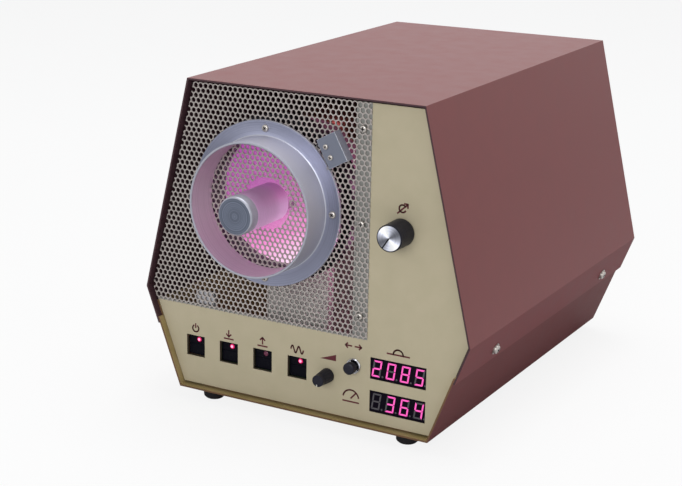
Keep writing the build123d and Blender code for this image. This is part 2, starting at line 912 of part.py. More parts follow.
level_base = panel_recess - knob_gap
level_cone = level_reach - level_nose
level_taper = degrees(atan2(level_radius - level_face_radius - level_cone_inset, level_cone))
with BuildPart() as level_knob:
    with BuildSketch(facing(level_base, level_x, level_z)):
        Circle(level_radius)
        with PolarLocations(level_radius + flute_offset, flute_count):
            Circle(flute_radius, mode=Mode.SUBTRACT)
    extrude(amount=level_cone, taper=level_taper)
    with BuildSketch(facing(level_base, level_x, level_z)):
        Circle(level_face_radius)
    extrude(amount=level_reach)
    with BuildSketch(facing(level_base - level_reach, level_x, level_z)):
        with Locations((notch_x, -level_face_radius)):
            Rectangle(notch_width, notch_length)
    extrude(amount=-notch_depth, mode=Mode.SUBTRACT)
    with BuildSketch(facing(level_base, level_x, level_z)):
        Circle(spindle_radius)
    extrude(amount=-spindle_length)
save(level_knob, "level_knob")

# Tuning knob with a spun inlay
knob_base = panel_recess - knob_gap
knob_front = panel_recess - knob_reach
with BuildPart() as tuning_knob:
    with BuildSketch(facing(knob_base, knob_x, knob_z)):
        Circle(knob_radius)
    with BuildSketch(facing(knob_front, knob_x, knob_z)):
        Circle(knob_face_radius)
    loft()
    with BuildSketch(facing(knob_front, knob_x, knob_z)):
        Circle(inlay_radius + hole_gap)
    extrude(amount=-inlay_thickness, mode=Mode.SUBTRACT)
    with BuildSketch(facing(knob_base, knob_x, knob_z)):
        Circle(shaft_radius + capacitor_bush_wall + knob_mouth_gap)
    extrude(amount=knob_mouth_depth, mode=Mode.SUBTRACT)
    with BuildSketch(facing(knob_base, knob_x, knob_z)):
        Circle(shaft_radius + running_gap)
    extrude(amount=knob_socket_depth, mode=Mode.SUBTRACT)
    with BuildSketch(level(knob_z + knob_radius - set_screw_depth, knob_x, knob_base - set_screw_y)):
        Circle(set_screw_radius)
    extrude(amount=2 * set_screw_depth, mode=Mode.SUBTRACT)
save(tuning_knob, "tuning_knob")

with BuildPart() as knob_inlay:
    with BuildSketch(facing(knob_front - inlay_proud, knob_x, knob_z)):
        Circle(inlay_radius)
        with PolarLocations(pointer_middle, 1, start_angle=pointer_angle):
            Rectangle(pointer_length, pointer_width, mode=Mode.SUBTRACT)
    extrude(amount=-(inlay_thickness + inlay_proud))
save(knob_inlay, "knob_inlay")

# Variable capacitor: frame with bearings, comb of stator plates, rotor on the knob's shaft
capacitor_front = panel_back + hole_gap
capacitor_back = capacitor_front + capacitor_length
inner_front = capacitor_front + capacitor_plate
inner_back = capacitor_back - capacitor_plate
bar_spacing = capacitor_size - 2 * capacitor_bar_inset
with BuildPart() as capacitor_frame:
    for y in (capacitor_front, inner_back):
        with BuildSketch(facing(y, knob_x, knob_z)):
            Rectangle(capacitor_size, capacitor_size)
            Circle(shaft_radius + running_gap, mode=Mode.SUBTRACT)
        extrude(amount=-capacitor_plate)
    with BuildSketch(facing(inner_front, knob_x, knob_z)):
        with GridLocations(bar_spacing, bar_spacing, 2, 2):
            Circle(capacitor_bar_radius)
    extrude(amount=-(inner_back - inner_front))
    with BuildSketch(facing(panel_recess - capacitor_bush_reach, knob_x, knob_z)):
        Circle(shaft_radius + capacitor_bush_wall)
        Circle(shaft_radius + running_gap, mode=Mode.SUBTRACT)
    extrude(amount=-(capacitor_front - panel_recess + capacitor_bush_reach))
save(capacitor_frame, "capacitor_frame")

rotor_y = [inner_front + rotor_first + index * rotor_pitch for index in range(rotor_count)]
shaft_front = knob_base - knob_socket_depth + knob_gap
hub_front = rotor_y[0] - rotor_plate
with BuildPart() as capacitor_rotor:
    with BuildSketch(facing(shaft_front, knob_x, knob_z)):
        Circle(shaft_radius)
    extrude(amount=-(capacitor_back - shaft_front))
    with BuildSketch(facing(hub_front, knob_x, knob_z)):
        Circle(shaft_radius + rotor_hub_wall)
    extrude(amount=-(rotor_y[-1] + 2 * rotor_plate - hub_front))
    for y in rotor_y:
        with BuildSketch(facing(y, knob_x, knob_z)):
            Circle(rotor_radius)
            Rectangle(2 * rotor_radius, rotor_radius, align=(Align.CENTER, Align.MIN), mode=Mode.SUBTRACT)
        extrude(amount=-rotor_plate)
save(capacitor_rotor, "capacitor_rotor")

stator_bar = rotor_radius + stator_bar_radius + stator_bar_gap
stator_height = rotor_radius - stator_foot - rotor_plate
with BuildPart() as stator_plates:
    for y in rotor_y[:-1]:
        with BuildSketch(facing(y + rotor_pitch / 2, knob_x, knob_z)):
            with Locations((0, stator_foot)):
                Rectangle(2 * stator_bar, stator_height, align=(Align.CENTER, Align.MIN))
            Circle(shaft_radius + 2 * rotor_hub_wall, mode=Mode.SUBTRACT)
        extrude(amount=-rotor_plate)
    with BuildSketch(facing(inner_front, knob_x, knob_z)):
        with Locations((stator_bar, 2 * stator_foot), (-stator_bar, 2 * stator_foot)):
            Circle(stator_bar_radius)
    extrude(amount=-(inner_back - inner_front))
save(stator_plates, "stator_plates")

# Matching coil behind the capacitor, wound from square copper bar
with BuildPart() as matching_coil:
    with BuildLine():
        coil_path = Helix(
            coil_pitch,
            coil_pitch * coil_turns,
            coil_radius,
            center=(knob_x, front_y + capacitor_back + coil_wire / 2 + hole_gap, foot_height + knob_z),
            direction=(0, 1, 0),
        )
    with BuildSketch(Plane(origin=coil_path @ 0, z_dir=coil_path % 0)):
        Rectangle(coil_wire, coil_wire)
    sweep(is_frenet=True)
save(matching_coil, "matching_coil")

# RF generator housing with its heat sink
rf_front = rf_place[1] - rf_box[1] / 2
with BuildPart() as rf_housing:
    with BuildSketch(level(sheet, rf_place[0], rf_place[1])):
        Rectangle(rf_box[0], rf_box[1])
    extrude(amount=rf_box[2])
    chamfer(rf_housing.edges().filter_by(Axis.Z), rf_corner)
save(rf_housing, "rf_housing")

rf_top = sheet + rf_box[2]
sink_width = rf_box[0] - 2 * sink_side_margin
sink_length = rf_box[1] - 2 * sink_end_margin
fin_pitch = (sink_width - sink_fin_thickness) / (heat_sink_fins - 1)
with BuildPart() as heat_sink:
    with BuildSketch(level(rf_top, rf_place[0], rf_place[1])):
        Rectangle(sink_width, sink_length)
    extrude(amount=heat_sink_base)
    with BuildSketch(level(rf_top + heat_sink_base, rf_place[0], rf_place[1])):
        with GridLocations(fin_pitch, 0, heat_sink_fins, 1):
            Rectangle(sink_fin_thickness, sink_length)
    extrude(amount=heat_sink_fin)
save(heat_sink, "heat_sink")

# Toroidal mains transformer on the tray's floor
with BuildPart() as toroidal_transformer:
    with BuildSketch(level(sheet, *transformer_place)):
        Circle(transformer_radius)
        Circle(transformer_hole, mode=Mode.SUBTRACT)
    extrude(amount=transformer_height)
    top_edges = toroidal_transformer.edges().filter_by(GeomType.CIRCLE).group_by(Axis.Z)[-1]
    chamfer(top_edges, transformer_shoulder)
save(toroidal_transformer, "toroidal_transformer")

# Vacuum manifold on the chamber's neck
manifold_start = neck_back + hose_bridge + manifold_stub
manifold_back = manifold_start + manifold_length
with BuildPart() as vacuum_manifold:
    with BuildSketch(door(manifold_start)):
        Rectangle(manifold_width, manifold_height)
    extrude(amount=-manifold_length)
    with BuildSketch(door(manifold_start)):
        Circle(neck_radius)
    extrude(amount=manifold_stub)
    with BuildSketch(door(manifold_back)):
        Circle(neck_radius)
    extrude(amount=-manifold_stub)
    with BuildSketch(door(manifold_start - manifold_stub)):
        Circle(port_bore)
    extrude(amount=-(manifold_length + 2 * manifold_stub), mode=Mode.SUBTRACT)
save(vacuum_manifold, "vacuum_manifold")

# Solenoid valves, one on each side of the manifold
manifold_middle = manifold_start + manifold_length / 2
with BuildPart() as solenoid_valves:
    for hand in (1, -1):
        with BuildSketch(across(door_x + hand * manifold_width / 2, manifold_middle, door_z)):
            Circle(valve_stem_radius)
        extrude(amount=hand * valve_stem_length)
        start = door_x + hand * (manifold_width / 2 + valve_stem_length)
        with BuildSketch(across(start, manifold_middle, door_z)):
            RectangleRounded(2 * valve_coil_radius, 2 * valve_coil_radius, valve_corner)
        extrude(amount=hand * valve_coil_length)
save(solenoid_valves, "solenoid_valves")

# Vacuum gauge tube on top of the manifold
gauge_foot = door_z + manifold_height / 2
with BuildPart() as gauge_tube:
    with BuildSketch(level(gauge_foot, door_x, manifold_middle)):
        Circle(gauge_radius / 2)
    extrude(amount=gauge_stem)
    with BuildSketch(level(gauge_foot + gauge_stem, door_x, manifold_middle)):
        Circle(gauge_radius)
    extrude(amount=gauge_height - gauge_stem)
    chamfer(gauge_tube.edges().filter_by(GeomType.CIRCLE).sort_by(Axis.Z)[-1], gauge_bevel)
save(gauge_tube, "gauge_tube")

# Hoses: barrel neck to manifold, manifold to the rear port
hose_inner = neck_radius + hole_gap
port_inner_end = rear_panel_front - port_inner_reach
with BuildPart() as vacuum_hoses:
    for y0, y1 in (
        (neck_back - hose_lap, manifold_start - hole_gap),
        (manifold_back + hole_gap, port_inner_end + hose_lap),
    ):
        with BuildSketch(door(y0)):
            Circle(hose_inner + hose_wall)
            Circle(hose_inner, mode=Mode.SUBTRACT)
        extrude(amount=-(y1 - y0))
save(vacuum_hoses, "vacuum_hoses")

# Rear panel
inlet_body_width = socket_width + 2 * socket_wall
inlet_body_height = socket_height + 2 * socket_wall
with BuildPart() as rear_panel:
    with BuildSketch(facing(rear_panel_front)):
        Polygon(*case_outline, align=None)
        offset(amount=-panel_inset, kind=Kind.INTERSECTION)
        with Locations((fan_x, fan_z)):
            Circle(fan_bore, mode=Mode.SUBTRACT)
            with GridLocations(fan_hole_pitch, fan_hole_pitch, 2, 2):
                Circle(small_shank_radius + hole_gap, mode=Mode.SUBTRACT)
        with Locations((inlet_x, inlet_z)):
            Rectangle(
                inlet_body_width + 2 * socket_panel_gap,
                inlet_body_height + 2 * socket_panel_gap,
                mode=Mode.SUBTRACT,
            )
        with Locations((door_x, door_z)):
            Circle(port_radius + hole_gap, mode=Mode.SUBTRACT)
        with Locations((gas_x, gas_z)):
            Circle(gas_radius + hole_gap, mode=Mode.SUBTRACT)
    extrude(amount=-panel_thickness)
save(rear_panel, "rear_panel")

# Fan frame: square, with a bore, three struts and a bearing hub
fan_front = rear_panel_front - fan_depth
with BuildPart() as fan_frame:
    with BuildSketch(facing(fan_front, fan_x, fan_z)):
        RectangleRounded(fan_size, fan_size, fan_corner)
        Circle(fan_bore, mode=Mode.SUBTRACT)
        with GridLocations(fan_hole_pitch, fan_hole_pitch, 2, 2):
            Circle(small_shank_radius + hole_gap, mode=Mode.SUBTRACT)
    extrude(amount=-fan_depth)
    with BuildSketch(facing(fan_front, fan_x, fan_z)):
        Circle(fan_hub_radius)
        with PolarLocations(fan_bore / 2 + strut_thickness, strut_count):
            Rectangle(fan_bore, strut_width)
        Circle(fan_pin_radius + running_gap, mode=Mode.SUBTRACT)
    extrude(amount=-strut_thickness)
save(fan_frame, "fan_frame")

# Fan rotor: hub with twisted blades, on a pin in the frame's hub
rotor_front = fan_front + strut_thickness + rotor_gap
rotor_depth = fan_depth - strut_thickness - 2 * rotor_gap
with BuildPart() as fan_rotor:
    with BuildSketch(facing(rotor_front, fan_x, fan_z)):
        Circle(fan_hub_radius)
    extrude(amount=-rotor_depth)
    with BuildSketch(facing(rotor_front, fan_x, fan_z)):
        Circle(fan_pin_radius)
    extrude(amount=rotor_gap + strut_thickness)
    for blade in range(fan_blades):
        turn = radians(360 / fan_blades * blade)
        outward = Vector(cos(turn), 0, sin(turn))
        middle = Vector(fan_x, front_y + rotor_front + rotor_depth / 2, foot_height + fan_z)
        root = (fan_hub_radius - blade_root_sink, blade_root_pitch, blade_root_share)
        tip = (fan_blade_reach, blade_tip_pitch, 1)
        for reach, pitch, share in (root, tip):
            lean = Vector(-sin(turn), 0, cos(turn)) * cos(radians(pitch))
            chord = lean + Vector(0, 1, 0) * sin(radians(pitch))
            with BuildSketch(Plane(origin=middle + outward * reach, x_dir=chord, z_dir=outward)):
                Rectangle(fan_blade_chord * share, fan_blade_thickness)
        loft()
save(fan_rotor, "fan_rotor")

# Fan guard outside the rear panel
with BuildPart() as fan_guard:
    with BuildSketch(facing(rear_panel_back, fan_x, fan_z)):
        for radius in guard_rings:
            Circle(radius + guard_wire / 2)
            Circle(radius - guard_wire / 2, mode=Mode.SUBTRACT)
        for lean in (45, -45):
            Rectangle(fan_hole_pitch * sqrt(2), 2 * guard_wire, rotation=lean)
        with GridLocations(fan_hole_pitch, fan_hole_pitch, 2, 2):
            Circle(guard_tab_radius)
            Circle(small_shank_radius + hole_gap, mode=Mode.SUBTRACT)
    extrude(amount=-guard_wire)
save(fan_guard, "fan_guard")

# Mains inlet: flanged block with a recessed socket and three blades
with BuildPart() as mains_inlet:
    with BuildSketch(facing(rear_panel_back, inlet_x, inlet_z)):
        RectangleRounded(inlet_width, inlet_height, inlet_corner)
    extrude(amount=-inlet_flange)
    with BuildSketch(facing(rear_panel_back, inlet_x, inlet_z)):
        Rectangle(inlet_body_width, inlet_body_height)
    extrude(amount=socket_depth)
    with BuildSketch(facing(rear_panel_back + inlet_flange, inlet_x, inlet_z)):
        RectangleRounded(socket_width, socket_height, socket_corner)
    extrude(amount=socket_depth, mode=Mode.SUBTRACT)
    with BuildSketch(facing(rear_panel_back + inlet_flange - socket_depth, inlet_x, inlet_z)):
        with Locations((-blade_spread, -blade_drop), (blade_spread, -blade_drop), (0, earth_rise)):
            Rectangle(*blade_contact)
    extrude(amount=-(socket_depth - inlet_flange))
save(mains_inlet, "mains_inlet")

# Vacuum port and gas inlet: bulkhead tubes with a nut outside
with BuildPart() as vacuum_port:
    with BuildSketch(door(port_inner_end)):
        Circle(port_radius)
    extrude(amount=-(rear_panel_back + port_reach - port_inner_end))
    with BuildSketch(door(rear_panel_back)):
        RegularPolygon(port_nut_radius, 6)
    extrude(amount=-port_nut_height)
    with BuildSketch(door(port_inner_end)):
        Circle(port_bore)
    extrude(amount=-(rear_panel_back + port_reach - port_inner_end), mode=Mode.SUBTRACT)
save(vacuum_port, "vacuum_port")

with BuildPart() as gas_inlet:
    with BuildSketch(facing(rear_panel_front - gas_inner_reach, gas_x, gas_z)):
        Circle(gas_radius)
    extrude(amount=-(panel_thickness + gas_inner_reach + gas_reach))
    with BuildSketch(facing(rear_panel_back, gas_x, gas_z)):
        RegularPolygon(2 * gas_radius, 6)
    extrude(amount=-port_nut_height)
    with BuildSketch(facing(rear_panel_front - gas_inner_reach, gas_x, gas_z)):
        Circle(gas_bore)
    extrude(amount=-(panel_thickness + gas_inner_reach + gas_reach), mode=Mode.SUBTRACT)
save(gas_inlet, "gas_inlet")

# Interlock: bent bracket, micro switch, sprung brass lever with a roller on the ring's rim
bracket_front = screen_front - bracket_stand
switch_front_y = bracket_front + bracket_wall
bracket_foot_width = (bracket_width - switch_width) / 2 - switch_screw_u - bracket_foot_gap
switch_screws = [(switch_screw_u, side * switch_screw_pitch / 2) for side in (-1, 1)]
with BuildPart() as interlock_bracket:
    with BuildSketch(interlock(bracket_front)):
        Rectangle(bracket_width, bracket_length)
        with Locations(*switch_screws):
            Circle(tiny_shank_radius + hole_gap, mode=Mode.SUBTRACT)
    extrude(amount=-bracket_wall)
    with BuildSketch(interlock(bracket_front)):
        with Locations((bracket_width / 2, 0)):
            Rectangle(bracket_wall, bracket_length, align=(Align.MAX, Align.CENTER))
    extrude(amount=-bracket_stand)
    with BuildSketch(interlock(screen_front - bracket_wall)):
        with Locations((bracket_width / 2, 0)):
            Rectangle(bracket_foot_width, bracket_length, align=(Align.MAX, Align.CENTER))
    extrude(amount=-bracket_wall)
save(interlock_bracket, "interlock_bracket")

switch_left = switch_screw_u - switch_width / 2
with BuildPart() as interlock_switch:
    with BuildSketch(interlock(switch_front_y)):
        with Locations((switch_screw_u, 0)):
            Rectangle(switch_width, switch_length)
        with Locations(*switch_screws):
            Circle(tiny_shank_radius + hole_gap, mode=Mode.SUBTRACT)
    extrude(amount=-switch_depth)
    for y in (switch_front_y, switch_front_y + switch_depth - ear_thickness):
        with BuildSketch(interlock(y)):
            with Locations((switch_left, lever_pin_v)):
                Rectangle(ear_width, ear_height, align=(Align.MAX, Align.CENTER))
            with Locations((switch_left - lever_stand, lever_pin_v)):
                Circle(lever_pin_radius + running_gap, mode=Mode.SUBTRACT)
        extrude(amount=-ear_thickness)
save(interlock_switch, "interlock_switch")

# The lever runs from its pin to a roller that rests on the rim of the ring's flange.
lever_pin_u = switch_left - lever_stand
turn = radians(interlock_angle)
ring_u = (door_x - interlock_x) * cos(turn) + (door_z - interlock_z) * sin(turn)
ring_v = -(door_x - interlock_x) * sin(turn) + (door_z - interlock_z) * cos(turn)
touch = ring_flange_radius + lever_roller_radius + lever_touch_gap
roller_u = ring_u + sqrt(touch**2 - (lever_roller_v - ring_v) ** 2)
lever_length = hypot(roller_u - lever_pin_u, lever_roller_v - lever_pin_v)
lever_lean = degrees(atan2(roller_u - lever_pin_u, lever_pin_v - lever_roller_v))
lever_front = switch_front_y + ear_thickness + lever_side_gap
with BuildPart() as interlock_lever:
    with BuildSketch(interlock(lever_front)):
        with Locations(((lever_pin_u + roller_u) / 2, (lever_pin_v + lever_roller_v) / 2)):
            Rectangle(lever_thickness, lever_length, rotation=lever_lean)
        with Locations((lever_pin_u, lever_pin_v)):
            Circle(lever_pin_radius + lever_hub_wall)
    extrude(amount=-(switch_depth - 2 * ear_thickness - 2 * lever_side_gap))
    with BuildSketch(interlock(switch_front_y + lever_side_gap)):
        with Locations((lever_pin_u, lever_pin_v)):
            Circle(lever_pin_radius)
    extrude(amount=-(switch_depth - 2 * lever_side_gap))
    with BuildSketch(interlock(lever_front)):
        with Locations((roller_u, lever_roller_v)):
            Circle(lever_roller_radius)
    extrude(amount=-(screen_front - lever_foot_gap - lever_front))
save(interlock_lever, "interlock_lever")

# Small screws: screen to panel, fan to rear panel, switch to bracket
with BuildPart() as small_screws:
    for z in screen_screw_z:
        with BuildSketch(facing(screen_front, screen_screw_x, z)):
            Circle(small_head_radius)
        extrude(amount=small_head_height, taper=head_taper)
        with BuildSketch(facing(screen_front, screen_screw_x, z)):
            Circle(small_shank_radius)
        extrude(amount=-(screen_thickness + panel_thickness + panel_screw_bite))
    for corner in GridLocations(fan_hole_pitch, fan_hole_pitch, 2, 2).local_locations:
        x = fan_x + corner.position.X
        z = fan_z + corner.position.Y
        with BuildSketch(facing(rear_panel_back + guard_wire, x, z)):
            Circle(small_head_radius)
        extrude(amount=-small_head_height, taper=head_taper)
        with BuildSketch(facing(rear_panel_back + guard_wire, x, z)):
            Circle(small_shank_radius)
        extrude(amount=guard_wire + panel_thickness + fan_depth)
save(small_screws, "small_screws")

with BuildPart() as switch_screw_pair:
    with BuildSketch(interlock(bracket_front)):
        with Locations(*switch_screws):
            Circle(tiny_head_radius)
    extrude(amount=tiny_head_height, taper=tiny_head_taper)
    with BuildSketch(interlock(bracket_front)):
        with Locations(*switch_screws):
            Circle(tiny_shank_radius)
    extrude(amount=-(bracket_wall + switch_depth))
save(switch_screw_pair, "switch_screws")
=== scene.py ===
# %% [markdown]
# # A bench-top plasma cleaner, dressed for a studio picture
# The construction is already finished as CAD: every plate, screw and knob has its real size and
# place. This lesson loads that frame and gives each piece its finish. Pieces that catch light on
# their edges are rounded, the turned pieces get finer facets, and what repeats, such as the holes
# of the screen, is made with Geometry Nodes.

# %% Load the frame
import json
import math

import bmesh
import bpy
from mathutils import Matrix, Vector


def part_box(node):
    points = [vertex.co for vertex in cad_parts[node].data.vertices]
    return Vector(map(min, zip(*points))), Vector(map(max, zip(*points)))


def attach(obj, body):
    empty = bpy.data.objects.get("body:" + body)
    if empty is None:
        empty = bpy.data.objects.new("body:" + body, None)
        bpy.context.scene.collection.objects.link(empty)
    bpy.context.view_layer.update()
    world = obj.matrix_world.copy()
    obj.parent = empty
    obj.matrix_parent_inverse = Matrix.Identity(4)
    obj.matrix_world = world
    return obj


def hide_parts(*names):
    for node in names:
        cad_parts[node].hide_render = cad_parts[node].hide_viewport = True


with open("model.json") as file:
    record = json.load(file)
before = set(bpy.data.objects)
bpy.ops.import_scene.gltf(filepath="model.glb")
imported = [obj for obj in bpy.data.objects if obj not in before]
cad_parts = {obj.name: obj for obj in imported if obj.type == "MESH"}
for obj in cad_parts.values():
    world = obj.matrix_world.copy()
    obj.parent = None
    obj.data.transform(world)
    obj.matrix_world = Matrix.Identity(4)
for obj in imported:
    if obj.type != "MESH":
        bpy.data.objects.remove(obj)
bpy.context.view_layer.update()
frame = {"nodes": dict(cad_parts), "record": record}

MM = 0.001
nodes = frame["nodes"]

# %% [markdown]
# ## Places
# The case is measured from its front edge (y) and from the underside of its tray (z), as a
# draughtsman would. One helper turns such a place, in millimetres, into the scene's metres.

# %% Places
case_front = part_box("cover")[0].y
tray_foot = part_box("chassis_tray")[0].z


def at(x, y, z):
    """A point given in millimetres from the front edge and the tray's underside."""
    return Vector((x * MM, case_front + y * MM, tray_foot + z * MM))


def middle_of(node):
    low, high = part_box(node)
    return (low + high) / 2


door_axis = middle_of("door_ring")
knob_axis = middle_of("knob_inlay")
button_axis = middle_of("push_button_cap")
print("door axis", [round(c, 4) for c in door_axis])

# %% [markdown]
# ## Materials
# Every finish is a small node tree on the Principled shader. Patterns read Object coordinates,
# so they stay on the piece. Each helper adds one node or a few, whose inputs are plain values or
# the outputs of other nodes, and the same helpers serve the geometry trees and the world.


# %% Node helpers
def feed(tree, value, socket):
    """Links an output to a socket, or sets a plain value on it."""
    if isinstance(value, bpy.types.NodeSocket):
        tree.links.new(value, socket)
    else:
        socket.default_value = value


def add_node(tree, kind, inputs=None, **settings):
    """A new node with its settings and inputs. A list of outputs goes into one socket in turn."""
    node = tree.nodes.new(kind)
    for key, value in settings.items():
        setattr(node, key, value)
    for key, value in (inputs or {}).items():
        for source in value if isinstance(value, list) else [value]:
            feed(tree, source, node.inputs[key])
    return node


def calc(tree, operation, *values):
    """One step of arithmetic on numbers or outputs."""
    return add_node(tree, "ShaderNodeMath", dict(enumerate(values)), operation=operation).outputs[0]


def on_piece(tree):
    return add_node(tree, "ShaderNodeTexCoord").outputs["Object"]


def noise(tree, where, scale, detail):
    values = {"Vector": where, "Scale": scale, "Detail": detail}
    return add_node(tree, "ShaderNodeTexNoise", values).outputs["Fac"]


def spread(tree, share, low, high):
    values = {"Value": share, "To Min": low, "To Max": high}
    return add_node(tree, "ShaderNodeMapRange", values).outputs["Result"]


def ramp(tree, share, colours, first=0.35, last=0.65):
    """Colours in even steps along a share, from its first place to its last."""
    node = add_node(tree, "ShaderNodeValToRGB", {"Fac": share})
    stops = node.color_ramp.elements
    stops[0].position, stops[1].position = first, last
    stops[0].color, stops[1].color = (*colours[0], 1), (*colours[-1], 1)
    for index, colour in enumerate(colours[1:-1], 1):
        stops.new(first + (last - first) * index / (len(colours) - 1)).color = (*colour, 1)
    return node.outputs["Color"]


def emboss(tree, shader, height, strength, distance):
    values = {"Height": height, "Strength": strength, "Distance": distance}
    feed(tree, add_node(tree, "ShaderNodeBump", values).outputs["Normal"], shader.inputs["Normal"])


# %% Starting a material
def new_finish(name, colour, roughness, metallic=0.0, specular=0.5):
    material = bpy.data.materials.new(name)
    material.use_nodes = True
    shader = material.node_tree.nodes["Principled BSDF"]
    shader.inputs["Base Color"].default_value = (*colour, 1)
    shader.inputs["Roughness"].default_value = roughness
    shader.inputs["Metallic"].default_value = metallic
    shader.inputs["Specular IOR Level"].default_value = specular
    return material, shader


def speckle(material, shader, scale, colour_a, colour_b, bump=0.0, rough=None):
    """Noise at one scale: a slight colour drift and, if asked for, a bump and a roughness range."""
    tree = material.node_tree
    where = on_piece(tree)
    drift = noise(tree, where, scale, 4.0)
    feed(tree, ramp(tree, drift, (colour_a, colour_b)), shader.inputs["Base Color"])
    if bump:
        emboss(tree, shader, noise(tree, where, scale * 12, 2.0), bump, 0.0002)
    if rough:
        feed(tree, spread(tree, drift, *rough), shader.inputs["Roughness"])


def flecked(name, colour, roughness, specular, scale, dark, light):
    """A plain finish whose colour drifts between two close tones."""
    material, shader = new_finish(name, colour, roughness, specular=specular)
    speckle(material, shader, scale, dark, light)
    return material, shader


# %% [markdown]
# ## Paint
# Sheet-metal paint is a satin skin with a very fine orange-peel bump. The case is a dusty maroon,
# the panel a warm cream, and the screen a paler cream. The tray has a darker, duller maroon. The
# cover's lower flanges get a darker, less glossy copy of the case paint, which is painted shade
# for the dim bench they face. The cover's inner faces and front cut edge get a dark maroon, and
# the walls of the panel's openings a dark brown, both painted shade; the tray's inner faces and
# cut edge have finishes of their own. These finishes are set face by face.


# %% Paints
def painted(name, colour, darker, roughness, specular=0.22):
    material, shader = new_finish(name, colour, roughness, specular=specular)
    speckle(material, shader, 60, darker, colour, 0.2, (roughness - 0.04, roughness + 0.07))
    return material


def bare_strip(material, right, low, colour):
    """Leaves the paint off behind the screen, left of one x and above one z."""
    tree = material.node_tree
    split = add_node(tree, "ShaderNodeSeparateXYZ", {"Vector": on_piece(tree)})
    behind = calc(tree, "LESS_THAN", split.outputs["X"], right)
    above = calc(tree, "GREATER_THAN", split.outputs["Z"], low)
    target = tree.nodes["Principled BSDF"].inputs["Base Color"]
    bare = calc(tree, "MULTIPLY", behind, above)
    values = {0: bare, 6: target.links[0].from_socket, 7: (*colour, 1)}
    feed(tree, add_node(tree, "ShaderNodeMix", values, data_type="RGBA").outputs[2], target)


case_paint = painted("case_paint", (0.205, 0.055, 0.055), (0.195, 0.051, 0.051), 0.36)
# Painted shade: the lower flanges' darker, less glossy copy of the case paint.
shaded_flange_paint = painted("shaded_flange_paint", (0.190, 0.052, 0.055), (0.175, 0.047, 0.050), 0.5, 0.08)
# Painted shade: a dark maroon for the cover's inner faces and front cut edge.
shaded_case_inside = painted("shaded_case_inside", (0.070, 0.034, 0.040), (0.060, 0.029, 0.035), 0.5)
tray_paint = painted("tray_paint", (0.150, 0.044, 0.045), (0.140, 0.040, 0.041), 0.5, 0.06)
tray_inside = painted("tray_inside", (0.42, 0.32, 0.15), (0.36, 0.27, 0.11), 0.5)
tray_edge = painted("tray_edge", (0.17, 0.090, 0.045), (0.14, 0.075, 0.038), 0.5)
panel_paint, rear_paint = (
    painted(name, (0.50, 0.44, 0.305), (0.48, 0.425, 0.29), 0.45)
    for name in ("panel_paint", "rear_paint")
)
bare_x, bare_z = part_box("rf_screen")[1].x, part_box("rf_screen")[0].z
bare_strip(panel_paint, bare_x, bare_z, (0.25, 0.25, 0.235))
# Painted shade: a dark brown for the walls of the panel's openings.
shaded_panel_walls = painted("shaded_panel_walls", (0.10, 0.080, 0.055), (0.085, 0.068, 0.046), 0.6)
screen_paint = painted("screen_paint", (0.455, 0.415, 0.385), (0.41, 0.37, 0.345), 0.42)
print("paints ready")

# %% [markdown]
# ## Turned aluminium
# Aluminium that was turned on a lathe carries fine circles round its axis. The circles are noise
# read along the radius and the depth only, and the shader's tangent runs round the axis, which
# pulls the highlights into the fans that a spun face shows. The tone itself also swings round the
# axis, in one or two lobes brightest at a given angle: that swing is a painted highlight.


# %% Turned metal
def turned_metal(name, centre, colour, roughness, spin, groove=2600, band=0.12,
                 metallic=1.0, highlight_lobes=2, angle=0.0, share=0.0):
    """Metal with circles round a centre, and a painted highlight brightest at an angle in degrees.
    """
    material, shader = new_finish(name, colour, roughness, metallic=metallic)
    shader.inputs["Anisotropic"].default_value = spin
    tree = material.node_tree
    split = add_node(tree, "ShaderNodeSeparateXYZ", {"Vector": on_piece(tree)}).outputs
    x = calc(tree, "SUBTRACT", split["X"], centre.x)
    z = calc(tree, "SUBTRACT", split["Z"], centre.z)
    flat = add_node(tree, "ShaderNodeCombineXYZ", {"X": x, "Z": z}).outputs[0]
    radius = add_node(tree, "ShaderNodeVectorMath", {0: flat}, operation="LENGTH").outputs["Value"]
    strand = add_node(tree, "ShaderNodeCombineXYZ", {"X": radius, "Y": split["Y"]}).outputs[0]
    circles = noise(tree, strand, groove, 2.0)
    emboss(tree, shader, circles, 0.14, 0.00008)
    tones = [tuple(channel * (1 + side * band) for channel in colour) for side in (-1, 1)]
    # Painted highlight: the tone swings round the axis by a share, brightest at the angle.
    highlight_phase = calc(
        tree, "MULTIPLY_ADD", calc(tree, "ARCTAN2", z, x), highlight_lobes, -highlight_lobes * math.radians(angle)
    )
    level = calc(tree, "MULTIPLY_ADD", calc(tree, "COSINE", highlight_phase), share, 1.0)
    values = {0: ramp(tree, circles, tones), "Scale": level}
    tone = add_node(tree, "ShaderNodeVectorMath", values, operation="SCALE")
    feed(tree, tone.outputs[0], shader.inputs["Base Color"])
    values = {"X": calc(tree, "MULTIPLY", z, -1), "Z": x}
    tangent = add_node(tree, "ShaderNodeCombineXYZ", values)
    feed(tree, tangent.outputs[0], shader.inputs["Tangent"])
    return material


# Painted light and shade: the ring's flange, tube, bore and rim are one aluminium in four copies,
# lobes, and the bore's pink tint is a painted reflection of the glow.
# painted darker or lighter face by face. The flange, tube and bore also carry painted highlight
flange_metal = turned_metal(
    "flange_metal", door_axis, (0.235, 0.245, 0.325), 0.40, 0.6, angle=75, share=0.22
)
tube_metal = turned_metal(
    "tube_metal", door_axis, (0.66, 0.65, 0.74), 0.40, 0.6, metallic=0.5, angle=45, share=0.2
)
bore_metal = turned_metal(
    "bore_metal", door_axis, (0.62, 0.54, 0.60), 0.45, 0.4, metallic=0.6, highlight_lobes=1, angle=280,
    share=0.3,
)
rim_metal = turned_metal("rim_metal", door_axis, (0.40, 0.41, 0.47), 0.35, 0.3)
